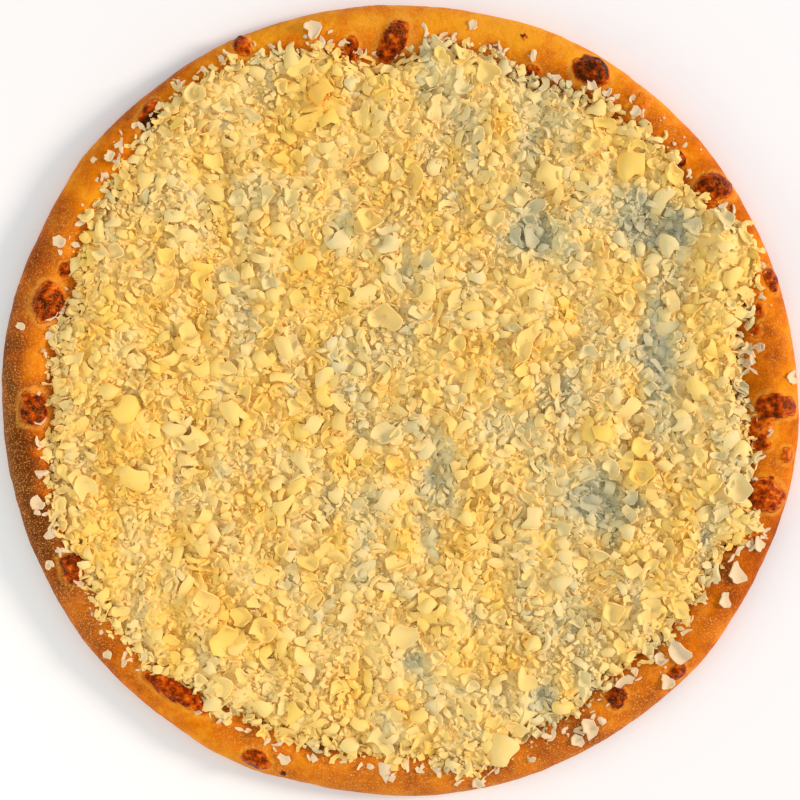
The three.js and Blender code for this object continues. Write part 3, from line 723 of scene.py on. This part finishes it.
def crumb_bed_top(x, y):
    """Top of the crumbs between the shavings: the settled height, blended between the middles of the
    four nearest cells; it falls to the crust over the last 4 mm."""
    ground = crust_top(x, y) + GAP
    column, row = (x + PILE_HALF) / PILE_CELL - 0.5, (y + PILE_HALF) / PILE_CELL - 0.5
    left, low = np.floor(column).astype(np.int64), np.floor(row).astype(np.int64)
    part_x, part_y = column - left, row - low
    level = sum(BED[left + i, low + j] * share_x * share_y
                for j, share_y in enumerate((1 - part_y, part_y))
                for i, share_x in enumerate((1 - part_x, part_x)))
    return ground + np.maximum(level, 0.2) * smooth((inside_heap(x, y) - BED_INSET) / 4)


def settle_crumbs():
    """The pile's height over the crust less BED_DEPTH, with its rise since the start blurred by a
    bell: each wave of it times exp(-2 (pi * width * frequency)^2)."""
    over = PILE.reshape(PILE_SIDE, PILE_SIDE) - PILE_AT_START
    frequency_x = np.fft.fftfreq(PILE_SIDE, PILE_CELL)[:, None]
    frequency_y = np.fft.rfftfreq(PILE_SIDE, PILE_CELL)[None, :]
    fade = np.exp(-2 * (math.pi * BED_SMOOTHING) ** 2 * (frequency_x ** 2 + frequency_y ** 2))
    rise = np.fft.irfft2(np.fft.rfft2(over) * fade, over.shape)
    return PILE_AT_START - CRUST_UNDER_PILE + rise - BED_DEPTH


def rest_on_crumbs():
    """Raises the pile to the crumbs wherever they stand higher."""
    x, y = cell_centres(1)
    covered = inside_heap(x, y) > BED_INSET
    pile = PILE.reshape(PILE_SIDE, PILE_SIDE)[1:-1, 1:-1]
    pile[:] = np.where(covered, np.maximum(pile, crumb_bed_top(x, y)), pile)


def ring_faces(starts):
    """The triangles between each ring and the one inside it: one on every step of the outer ring, and
    one on every step of the inner ring. Each of a ring's six sides has as many steps as its number."""
    faces = []
    for ring in range(1, BED_RINGS + 1):
        side, step = np.divmod(np.arange(6 * ring), ring)
        outer = starts[ring] + side * ring + step
        outer_next = starts[ring] + (side * ring + step + 1) % (6 * ring)
        count = max(6 * (ring - 1), 1)
        inner = starts[ring - 1] + (side * (ring - 1) + step) % count
        inner_next = starts[ring - 1] + (side * (ring - 1) + step + 1) % count
        faces.append(np.stack([inner, outer, outer_next], axis=-1))
        faces.append(np.stack([inner, outer_next, inner_next], axis=-1)[step < ring - 1])
    return faces


def make_bed():
    """Rings of points, ring k with 6k of them, so that the triangles are all about as large, then a
    skirt from the last ring down to the crust and a flat floor just over the cream."""
    rings = np.arange(BED_RINGS + 1)
    counts = np.maximum(6 * rings, 1)
    starts = np.cumsum(counts) - counts
    ring = np.repeat(rings, counts)
    step = np.arange(len(ring)) - starts[ring]
    angle = 2 * math.pi * step / counts[ring]
    x, y = polar((heap_radius(angle) - BED_INSET) * ring / BED_RINGS, angle)
    chips = sum(size * chip_relief(x, y, width, seed) for size, width, seed in CHIP_LAYERS)
    z = crumb_bed_top(x, y) + smooth((BED_RINGS - ring) / 5) * chips
    z = np.maximum(z, crust_top(x, y) + GAP)
    edge_count = counts[-1]
    edge = starts[-1] + np.arange(edge_count)
    skirt = xyz(x[edge], y[edge], crust_top(x[edge], y[edge]) + GAP * 0.5)
    floor_height = BASE_THICKNESS + 2 * GAP + CREAM_THICKNESS
    floor = xyz(*polar(CREAM_RADIUS + GAP, angle[edge]), floor_height)
    points = np.concatenate([xyz(x, y, z), skirt, floor, [[0, 0, floor_height]]])
    skirt_ring = edge + edge_count
    floor_ring = skirt_ring + edge_count
    middle = np.full(edge_count, len(points) - 1)
    edge_next, skirt_next, floor_next = (np.roll(loop, -1) for loop in (edge, skirt_ring, floor_ring))
    faces = ring_faces(starts)
    faces.append(split(np.stack([edge, skirt_ring, skirt_next, edge_next], axis=-1)))
    faces.append(split(np.stack([skirt_ring, floor_ring, floor_next, skirt_next], axis=-1)))
    faces.append(np.stack([middle, floor_next, floor_ring], axis=-1))
    tint = tint_with_painted_shade(points[:, 0], points[:, 1], 0.0) + 0.2 * noise(points, 2.6, 21)
    make_chocolate("shaving_bed", points, np.concatenate(faces), 35, tint)


# ---- Shavings: shapes ----
def between(low, high, count, power=1.0):
    """Seeded draws between two values, more of them low where power is above 1."""
    return low + (high - low) * RANDOM.random(count) ** power


SHAPE_VALUES = ("length", "width", "thickness", "roll", "cup", "lip", "curve", "bias", "twist",
                "blunt", "taper", "wave", "ragged")


def bent_plates(grid, shape):
    """Thin plates, one for each entry of the shape's arrays, as mid-surface points and half thicknesses.

    Along u from -1 to 1 the half width is width/2 * (blunt + (1 - blunt) * sqrt(1 - 0.96 u^2)) * (1 +
    taper * u), wavier on each side by 0.22 * sin(3.2 u + wave), and bias moves the strip sideways
    by bias * half the width * (1 - u^2). Each cross section is dished by cup * y^2 / width, its far
    side turns up into a lip, and it is turned by twist * u. The spine turns sideways by curve over
    its length, and upwards by roll, tighter at one end. Ragged moves the outline's points, and the
    plate thins by 45 percent towards them."""
    length, width, thickness, roll, cup, lip, curve, bias, twist, blunt, taper, wave, ragged = (
        np.asarray(shape[name], dtype=float)[:, None, None] for name in SHAPE_VALUES)
    along, across = grid
    u = np.linspace(-1, 1, along + 1)[None, :, None]
    v = np.linspace(-1, 1, across + 1)[None, None, :]
    edge = np.maximum(np.abs(u) + 0 * v, np.abs(v) + 0 * u)
    moved = (edge > 0.999) * ragged
    jitter = RANDOM.uniform(-0.5, 0.5, (2, len(length), along + 1, across + 1)) * moved
    half = width / 2 * (blunt + (1 - blunt) * np.sqrt(1 - 0.96 * u * u)) * (1 + taper * u)
    half = half * (1 + 0.22 * np.sin(3.2 * u + np.where(v > 0, wave, 2.3 * wave + 1)))
    side = v * half + bias * width / 2 * (1 - u * u) + jitter[0] * width
    dish = cup * (v * half) ** 2 / width + lip * width * np.maximum(v, 0) ** 3
    turn = twist * u
    side, dish = side * np.cos(turn) - dish * np.sin(turn), side * np.sin(turn) + dish * np.cos(turn)
    place = u + jitter[1]
    curve, roll = (np.where(np.abs(bend) < 1e-3, 1e-3, bend) for bend in (curve, roll))
    bow = length / curve
    flat_x = (bow - side) * np.sin(place * curve / 2)
    flat_y = bow - (bow - side) * np.cos(place * curve / 2)
    bend = length / roll * (1 + 0.5 * flat_x / length)
    lean = flat_x / bend
    points = xyz((bend - dish) * np.sin(lean), flat_y, bend - (bend - dish) * np.cos(lean))
    return points, thickness / 2 * (1 - 0.45 * edge ** 4)


def plate_faces(grid):
    """Quads of one closed plate: its upper skin, its lower skin turned over, and the rim between."""
    along, across = grid
    index = np.arange((along + 1) * (across + 1)).reshape(along + 1, across + 1)
    a, b, c, d = index[:-1, :-1], index[1:, :-1], index[1:, 1:], index[:-1, 1:]
    upper = np.stack([a, b, c, d], axis=-1).reshape(-1, 4)
    lower = upper[:, [0, 3, 2, 1]] + index.size
    loop = np.concatenate([index[:, 0], index[-1, 1:], index[-2::-1, -1], index[0, -2:0:-1]])
    after = np.roll(loop, -1)
    rim = np.stack([loop, loop + index.size, after + index.size, after], axis=-1)
    return np.concatenate([upper, lower, rim])


def turned(axis, angle):
    """Rotation matrices about one axis, one for each angle."""
    cos, sin = np.cos(angle), np.sin(angle)
    first, second = [(1, 2), (2, 0), (0, 1)][axis]
    matrix = np.zeros(np.shape(angle) + (3, 3))
    matrix[..., axis, axis] = 1
    matrix[..., first, first] = cos
    matrix[..., second, second] = cos
    matrix[..., first, second] = -sin
    matrix[..., second, first] = sin
    return matrix


# ---- Shavings: the fall ----
SPLAT = np.array([0, 1, PILE_SIDE, PILE_SIDE + 1])   # the cells that one point raises
STEEPEST = 0.55             # steepest lean of a plate that settles, as a slope
FOLLOWED = 0.8              # share of the pile's slope that a plate follows
SEATED = 0.4                # how far over the pile its mid-surface rests, as a share of its thickness


def land(points, x, y, turn, tip, thickness, sink):
    """Drops one plate: it leans with the slope of the pile under it, found by least squares, then
    comes down until the share sink of its points is under the pile's top, and raises the pile.
    Returns its matrix and height."""
    spun = points @ (turned(2, turn) @ tip).T
    flat_x, flat_y = spun[:, 0], spun[:, 1]
    ground = PILE[pile_index(flat_x + x, flat_y + y)]
    off_x, off_y = flat_x - flat_x.mean(), flat_y - flat_y.mean()
    xx, yy, xy = off_x @ off_x + 1, off_y @ off_y + 1, off_x @ off_y
    xz, yz = off_x @ ground, off_y @ ground
    scale = (xx * yy - xy * xy) / FOLLOWED
    slope_x = min(max((xz * yy - yz * xy) / scale, -STEEPEST), STEEPEST)
    slope_y = min(max((yz * xx - xz * xy) / scale, -STEEPEST), STEEPEST)
    lean = turned(1, -math.atan(slope_x)) @ turned(0, math.atan(slope_y))
    matrix = lean @ turned(2, turn) @ tip
    placed = points @ matrix.T
    cells = pile_index(placed[:, 0] + x, placed[:, 1] + y)
    gaps = np.sort(PILE[cells] - placed[:, 2])
    height = gaps[int(len(gaps) * (1 - sink))] + thickness * SEATED
    tops = placed[:, 2] + height + thickness * 0.5
    np.maximum.at(PILE, (cells[:, None] + SPLAT).ravel(), np.repeat(tops, len(SPLAT)))
    return matrix, height


class Kind:
    """All shavings of one kind: the plates of their mesh, the finer ones without ragged edges that
    feel the pile as they fall, and how each of them lies in the end."""

    def __init__(self, name, grid, fine, shape):
        self.name, self.grid, self.thickness = name, grid, shape["thickness"]
        # the draws for the mesh are taken back, so that its grid doesn't change the fall
        state = RANDOM.bit_generator.state
        self.points, self.half = bent_plates(grid, shape)
        RANDOM.bit_generator.state = state
        count = len(self.points)
        feel = bent_plates(fine, dict(shape, ragged=np.zeros(count)))[0].reshape(count, -1, 3)
        centre = feel.mean(axis=1)
        self.points = self.points - centre[:, None, None, :]
        self.feel = feel - centre[:, None, :]
        self.matrix = np.tile(np.eye(3), (count, 1, 1))
        self.place = np.zeros((count, 3))

    def drop(self, item, x, y, turn, tip, sink):
        """Lands one of them and keeps how it lies."""
        matrix, height = land(self.feel[item], x, y, turn, tip, self.thickness[item], sink)
        self.matrix[item] = matrix
        self.place[item] = (x, y, height)

    def make(self, stands_for="shavings", least_tint=-1.0):
        """Both skins stand off the mid-surface by half the thickness, along its normal."""
        count = len(self.points)
        normal = np.cross(np.gradient(self.points, axis=1), np.gradient(self.points, axis=2))
        normal /= np.maximum(np.linalg.norm(normal, axis=-1, keepdims=True), 1e-9)
        offset = normal * self.half[..., None]
        skins = np.stack([self.points + offset, self.points - offset], axis=1)
        skins = skins.reshape(count, -1, 3) @ self.matrix.transpose(0, 2, 1) + self.place[:, None, :]
        faces = repeated_faces(count, skins.shape[1], plate_faces(self.grid))
        tint = np.repeat(np.maximum(tint_with_painted_shade(*self.place.T[:2], 0.07), least_tint), skins.shape[1])
        make_chocolate(self.name, skins.reshape(-1, 3), faces, 52, tint, stands_for)


def tint_with_painted_shade(x, y, uneven):
    """Tint of a shaving: 1 for yellow, less for paler and greyer, which is painted shade in the heap's
    hollows and on its right, and a little greyer at its edge; warmer in patches 10 mm wide; above 1 where
    toasted; ivory on the rim."""
    inside = inside_heap(x, y)
    hollow = np.clip(bells(HEAP_FORMS, x, y) + bells(SMALL_FORMS, x, y) + 0.2, -3, 1)
    # painted shade: greyer the deeper the hollow and the further right, where the slopes face away from the
    # light
    tint = 0.56 + 0.18 * hollow + 0.33 * rough(WARM_PATCHES, patch_place(x, y)) - 0.08 * x / 150
    tint = tint - 0.08 * smooth((6 - inside) / 6)
    tint = np.clip(tint + RANDOM.normal(0, uneven, len(x)), LEAST_TINT, 1.0) + bells(TOASTED, x, y)
    return np.where(inside < -2, IVORY_TINT, tint)


def drawn(count, **values):
    """The arrays of a shape, drawn in the order given: a value is a range for between, or an array or
    a number as it is. Roll, curve and twist come in degrees."""
    shape = {}
    for name, value in values.items():
        ranged = isinstance(value, tuple)
        value = between(*value[:2], count, *value[2:]) if ranged else value + np.zeros(count)
        shape[name] = np.radians(value) if name in ("roll", "curve", "twist") else value
    return shape


RANGES = ("length", "width", "roll", "cup", "lip", "curve", "bias", "twist", "blunt", "taper")
ANY_WAVE = (0, 2 * math.pi)


def kind(name, count, grid, fine, ragged, thickness, *ranges):
    """A kind from its ranges, in the order of RANGES, with its width as a share of its length."""
    ranges = dict(zip(RANGES, ranges))
    shape = drawn(count, **ranges, wave=ANY_WAVE, thickness=thickness, ragged=ragged)
    shape["width"] = shape["length"] * shape["width"]
    return Kind(name, grid, fine, shape)


# Name, count, steps along and across of the mesh and of what feels the pile, how ragged, thickness,
# then the ranges; the third number of a length is a power that draws more of them short.
PETALS = kind("shavings_petals", 3200, (3, 3), (7, 6), 0.06, (0.7, 1.1),
              (4.0, 8.2, 1.3), (0.42, 0.8), (40, 145), (0.1, 0.6), (0.0, 0.3), (-70, 70),
              (-0.6, 0.6), (-40, 40), (0.3, 1.0), (-0.45, 0.45))
SHELLS = kind("shavings_shells", 460, (6, 4), (10, 7), 0.06, (0.7, 1.0),
              (6.8, 11.5, 1.8), (0.45, 0.75), (40, 130), (0.0, 0.5), (0.0, 0.35), (-60, 60),
              (-0.6, 0.6), (-40, 40), (0.2, 0.8), (-0.5, 0.5))
CRESCENTS = kind("shavings_crescents", 3200, (4, 2), (8, 4), 0.05, (0.65, 1.05),
                 (4.4, 10.2, 1.5), (0.25, 0.46), (20, 130), (0.2, 0.9), (0.0, 0.35), (40, 140),
                 (-0.3, 0.3), (-50, 50), (0.35, 0.75), (-0.4, 0.4))
ROLLS = kind("shavings_rolls", 150, (10, 2), (14, 5), 0.06, (0.6, 0.9),
             (7.0, 12.0, 1.4), (0.26, 0.45), (120, 230), (0.0, 0.4), (0.0, 0.1), (-35, 35),
             (-0.2, 0.2), (-20, 20), (0.5, 0.9), (-0.2, 0.2))
RIBBONS = kind("shavings_ribbons", 70, (8, 4), (12, 7), 0.06, (0.8, 1.1),
               (8.0, 14.0, 1.5), (0.36, 0.52), (40, 110), (0.0, 0.3), (0.0, 0.35), (-35, 35),
               (-0.2, 0.2), (-30, 30), (0.7, 1.0), (-0.3, 0.3))
CHIPS = kind("shavings_chips", 3700, (2, 2), (5, 4), 0.14, (0.5, 0.9),
             (1.8, 4.2, 1.3), (0.5, 0.9), (0, 80), (0.0, 0.4), (0.0, 0.2), (-20, 20),
             (-0.4, 0.4), (-25, 25), (0.35, 0.8), (-0.5, 0.5))
SLIVERS = kind("shavings_slivers", 3700, (3, 1), (6, 3), 0.10, (0.5, 0.85),
               (2.4, 6.0, 1.5), (0.24, 0.44), (0, 80), (0.0, 0.8), (0.0, 0.1), (-80, 80),
               (-0.3, 0.3), (-30, 30), (0.2, 0.5), (-0.5, 0.5))


UPTURNED = 0.42             # share of the shavings that lie with their hollow side up
CHOICES = 5                 # places that a falling shaving picks the lowest of
FEELERS = np.array([[0, 0], [2, 0], [-2, 0], [0, 2], [0, -2]])   # where it feels how low a place is
FALL_INSET = 1.5            # shavings fall this far inside the heap's outline
STRAY_REACH = 2.2           # mean distance that strays lie from the outline


def scattered(count, inset, past_edge=0.0):
    """Places spread evenly by area over the heap: radius = outline * sqrt(draw), less an inset. The
    share past_edge of them lies outside the outline, fewer further out."""
    angle = RANDOM.uniform(-math.pi, math.pi, count)
    outline = heap_radius(angle)
    radius = (outline - inset) * np.sqrt(RANDOM.random(count))
    strayed = outline + RANDOM.exponential(STRAY_REACH, count)
    radius = np.where(RANDOM.random(count) < past_edge, np.minimum(strayed, PIZZA_RADIUS - 5), radius)
    return np.stack(polar(radius, angle), axis=-1)


def fall(layers):
    """Drops the items of several kinds in a mixed order, each into the lowest of a few places. A
    layer is a kind, the share of it from and to, its spread of tip in degrees, the share of its
    points that sink, how it gathers in patches (above 0) or between them, and the share that strays."""
    queue = []
    for pieces, start, end, tip_spread, sink, patchy, past_edge in layers:
        items = np.arange(int(start * len(pieces.thickness)), int(end * len(pieces.thickness)))
        count = len(items)
        spots = scattered(count * CHOICES, FALL_INSET, past_edge).reshape(count, CHOICES, 2)
        x, y = spots[..., 0], spots[..., 1]
        wanted = loose_top(x, y) + patchy * rough(GATHERING, xyz(x, y, 0))
        turn = RANDOM.uniform(0, 2 * math.pi, count)
        over = np.where(RANDOM.random(count) < UPTURNED, 0.0, math.pi)
        tips = (turned(1, np.radians(RANDOM.normal(0, tip_spread, count)))
                @ turned(0, over + np.radians(RANDOM.normal(0, tip_spread, count))))
        queue += [(pieces, *entry, sink) for entry in zip(items, spots, wanted, turn, tips)]
    for number in RANDOM.permutation(len(queue)):
        pieces, item, spots, wanted, turn, tip, sink = queue[number]
        felt = spots[:, None, :] + FEELERS
        top = PILE[pile_index(felt[..., 0], felt[..., 1])].mean(axis=1)
        x, y = spots[np.argmin(top - wanted)]
        pieces.drop(item, x, y, turn, tip, sink)


def large_places():
    """Rows of number, x, y, length, width, turn and roll of the solids' own large shavings: the
    landmarks, then those spread by the golden angle at (outline - 3) * sqrt((i + 0.5) / count),
    unless a landmark lies there."""
    rows = [(CURL_COUNT + i, *place) for i, place in enumerate(LANDMARKS)]
    for i in range(CURL_COUNT):
        angle = i * GOLDEN_ANGLE + 0.3 * (draw(i, 6) - 0.5)
        radius = (heap_radius(np.array(angle)) - 3) * math.sqrt((i + 0.5) / CURL_COUNT)
        x, y = float(radius * math.cos(angle)), float(radius * math.sin(angle))
        if any(math.hypot(x - mark[0], y - mark[1]) < mark[2] * 0.7 for mark in LANDMARKS):
            continue
        length = CURL_MIN + (CURL_MAX - CURL_MIN) * draw(i, 7) ** 2
        width = length * (0.5 + 0.35 * draw(i, 8))
        rows.append((i, x, y, length, width, 360 * draw(i, 9), 60 + 90 * draw(i, 10)))
    return np.array(rows)


def large_shavings():
    """The solids' large shavings as plates; the landmarks are less crooked than the others."""
    number, x, y, length, width, turn, roll = large_places().T
    count = len(number)
    petal = draw(number, 11) < CURL_PETALS
    shape = drawn(count, length=length, width=width, roll=roll, cup=np.where(petal, 0.9, 0.15),
                  curve=(-35, 35), bias=(-0.5, 0.5), twist=(-25, 25), lip=(0, 0.3), wave=ANY_WAVE,
                  blunt=np.where(petal, 0.35, 0.75), taper=(-0.3, 0.3), ragged=0.035, thickness=0.9)
    shape["taper"] = np.where(petal, shape["taper"], -0.12)
    for name in ("curve", "bias", "twist", "taper"):
        shape[name] = shape[name] * np.where(number < CURL_COUNT, 1.0, 0.25)
    large = Kind("shavings_large", (14, 8), (18, 12), shape)
    over = np.where(draw(number, 12) < 1 - CURL_UPTURNED, math.pi, 0.0)
    tip_x = over + np.radians(CURL_TIP * (draw(number, 13) - 0.5))
    tips = turned(1, np.radians(CURL_TIP * (draw(number, 14) - 0.5))) @ turned(0, tip_x)
    for item in range(count):
        large.drop(item, x[item], y[item], math.radians(turn[item]), tips[item], sink=0.3)
    return large


def fallen_shavings():
    """The solids' own fallen shavings, lying on the rim."""
    degrees, radius, length = np.array(FALLEN, dtype=float).T
    angle = np.radians(degrees)
    radius = np.maximum(radius, heap_radius(angle) + length / 2 + FALLEN_CLEAR)
    number = np.arange(len(FALLEN))
    shape = drawn(len(FALLEN), length=length, width=length * 0.7, roll=40 + 50 * draw(number, 1),
                  cup=(0.2, 0.9), curve=(-30, 30), bias=(-0.4, 0.4), twist=(-20, 20), lip=(0, 0.3),
                  wave=ANY_WAVE, blunt=(0.3, 0.7), taper=(-0.4, 0.4), ragged=0.2, thickness=1.0)
    fallen = Kind("shavings_fallen", (4, 3), (8, 6), shape)
    for item in number:
        x, y = radius[item] * math.cos(angle[item]), radius[item] * math.sin(angle[item])
        fallen.drop(item, x, y, angle[item] + 2 * math.pi * draw(item, 2), np.eye(3), sink=0.3)
    return fallen


CRUMB_SIZES = (0.45, 1.25)
CRUMB_CORNERS = np.array([[1, 0, 0], [0, 1, 0], [-1, 0, 0], [0, -1, 0], [0, 0, 0.8], [0, 0, -0.8]])
CRUMB_FACES = np.array([[0, 1, 4], [1, 2, 4], [2, 3, 4], [3, 0, 4],
                        [1, 0, 5], [2, 1, 5], [3, 2, 5], [0, 3, 5]])
ANY_TURN = 6.28             # crumbs are turned by up to this, just short of a full turn


def make_crumbs(count, on_rim):
    """Octahedra of uneven size, half sunk in the bed between the shavings, each in the lowest of
    three places; some more lie on the rim, at outline + 1 + an exponential draw."""
    spots = scattered(count * 3, 0).reshape(count, 3, 2)
    top = PILE[pile_index(spots[..., 0], spots[..., 1])] - heap_top(spots[..., 0], spots[..., 1])
    lowest = spots[np.arange(count), np.argmin(top, axis=1)]
    angle = RANDOM.uniform(-math.pi, math.pi, on_rim)
    radius = np.minimum(heap_radius(angle) + 1 + RANDOM.exponential(2.5, on_rim), PIZZA_RADIUS - 3)
    x, y = np.concatenate([lowest, np.stack(polar(radius, angle), axis=-1)]).T
    total = count + on_rim
    in_heap = np.arange(total) < count
    size = between(*CRUMB_SIZES, total, 1.6) * np.where(in_heap, 1.0, 0.75)
    local = CRUMB_CORNERS * RANDOM.uniform(0.6, 1.4, (total, 6, 1)) * size[:, None, None]
    local = local @ turned(2, RANDOM.uniform(0, ANY_TURN, total))
    local = local @ turned(0, RANDOM.uniform(0, ANY_TURN, total))
    z = np.maximum(PILE[pile_index(x, y)], np.where(in_heap, crumb_bed_top(x, y), 0)) + size * 0.1
    points = local + xyz(x, y, z)[:, None, :]
    faces = repeated_faces(total, len(CRUMB_CORNERS), CRUMB_FACES)
    tint = np.repeat(tint_with_painted_shade(x, y, 0.10), len(CRUMB_CORNERS))
    make_chocolate("shavings_crumbs", points.reshape(-1, 3), faces, 30, tint)


# ---- Building it ----
make_crust()
make_cream()
# the lower layers, then the crumbs that fill the gaps between them
fall([(CHIPS, 0.0, 0.7, 10, 0.55, -0.7, 0.0), (SLIVERS, 0.0, 0.7, 12, 0.55, -0.7, 0.0),
      (PETALS, 0.0, 0.7, 12, 0.5, 0.7, 0.0), (CRESCENTS, 0.0, 0.65, 16, 0.5, 0.3, 0.0),
      (SHELLS, 0.0, 0.4, 9, 0.45, 1.0, 0.0)])
BED = settle_crumbs()
make_bed()
rest_on_crumbs()
make_crumbs(count=5600, on_rim=120)
# the upper layers, the loose ones on top, the large ones, and a few small ones over these
fall([(CHIPS, 0.7, 0.9, 12, 0.6, -1.0, 0.02), (SLIVERS, 0.7, 0.9, 14, 0.6, -1.0, 0.03),
      (PETALS, 0.7, 0.92, 14, 0.55, 1.0, 0.015), (CRESCENTS, 0.65, 0.9, 20, 0.55, 0.5, 0.04),
      (SHELLS, 0.4, 0.75, 10, 0.45, 1.0, 0.0)])
fall([(PETALS, 0.92, 1.0, 14, 0.4, 0.0, 0.0), (CRESCENTS, 0.9, 1.0, 20, 0.4, 0.0, 0.01),
      (SHELLS, 0.75, 1.0, 14, 0.4, 0.5, 0.0), (ROLLS, 0.0, 1.0, 14, 0.4, 0.0, 0.0),
      (RIBBONS, 0.0, 1.0, 14, 0.4, 0.5, 0.0)])
large_shavings().make(least_tint=0.3)
fall([(CHIPS, 0.9, 1.0, 14, 0.45, -1.0, 0.03), (SLIVERS, 0.9, 1.0, 18, 0.45, -1.0, 0.05)])
for pieces_of_kind in (PETALS, SHELLS, CRESCENTS, ROLLS, RIBBONS, CHIPS, SLIVERS):
    pieces_of_kind.make()
fallen_shavings().make("crust")

# ---- Floor, light and camera, in metres ----
FLOOR_HALF = 3.0
KEY_DISTANCE = 4.0
KEY_HEIGHT = math.radians(28)
KEY_ASIDE = 0.6
CARD_PLACE = (-0.5, -0.28, 0.34)
CAMERA_HEIGHT = 0.9         # above the table, straight over the middle
VIEW_HALF = 0.1765          # from the middle to the frame's edge, at the widest line's height


def put_in_scene(name, data):
    """An object at the origin for a mesh, a light or a camera."""
    placed = bpy.data.objects.new(name, data)
    bpy.context.scene.collection.objects.link(placed)
    return placed


def round_light(name, place, size, energy, tone):
    """A soft light: a disk of this size that faces the middle of the pizza."""
    light = bpy.data.lights.new(name, "AREA")
    light.shape = "DISK"
    light.size = size
    light.energy = energy
    light.color = tone
    holder = put_in_scene(name, light)
    holder.location = place
    holder.rotation_euler = (-holder.location).to_track_quat("-Z", "Y").to_euler()


floor_mesh = bpy.data.meshes.new("floor")
floor_corners = [(side_x * FLOOR_HALF, side_y * FLOOR_HALF, 0)
                 for side_x, side_y in ((-1, -1), (1, -1), (1, 1), (-1, 1))]
floor_mesh.from_pydata(floor_corners, [], [(0, 1, 2, 3)])
floor_mesh.materials.append(studio_floor())
put_in_scene("floor", floor_mesh)

# a low warm key light from the right, and a card that throws it back from the lower left
round_light("key", (KEY_DISTANCE * math.cos(KEY_HEIGHT), KEY_ASIDE, KEY_DISTANCE * math.sin(KEY_HEIGHT)),
            1.1, 120, (1.0, 0.79, 0.65))
round_light("bounce_card", CARD_PLACE, 0.5, 1.2, (1.0, 0.85, 0.58))

world = bpy.data.worlds.new("soft_sky")
world.use_nodes = True
sky = world.node_tree.nodes["Background"].inputs
sky["Color"].default_value = (0.84, 0.92, 0.98, 1.0)
sky["Strength"].default_value = 0.70
bpy.context.scene.world = world
bpy.context.scene.view_settings.view_transform = "Standard"

camera = bpy.data.cameras.new("camera")
camera.angle = 2 * math.atan(VIEW_HALF / (CAMERA_HEIGHT - WIDEST_HEIGHT * MM))
camera_object = put_in_scene("camera", camera)
camera_object.location = (0, 0, CAMERA_HEIGHT)
bpy.context.scene.camera = camera_object
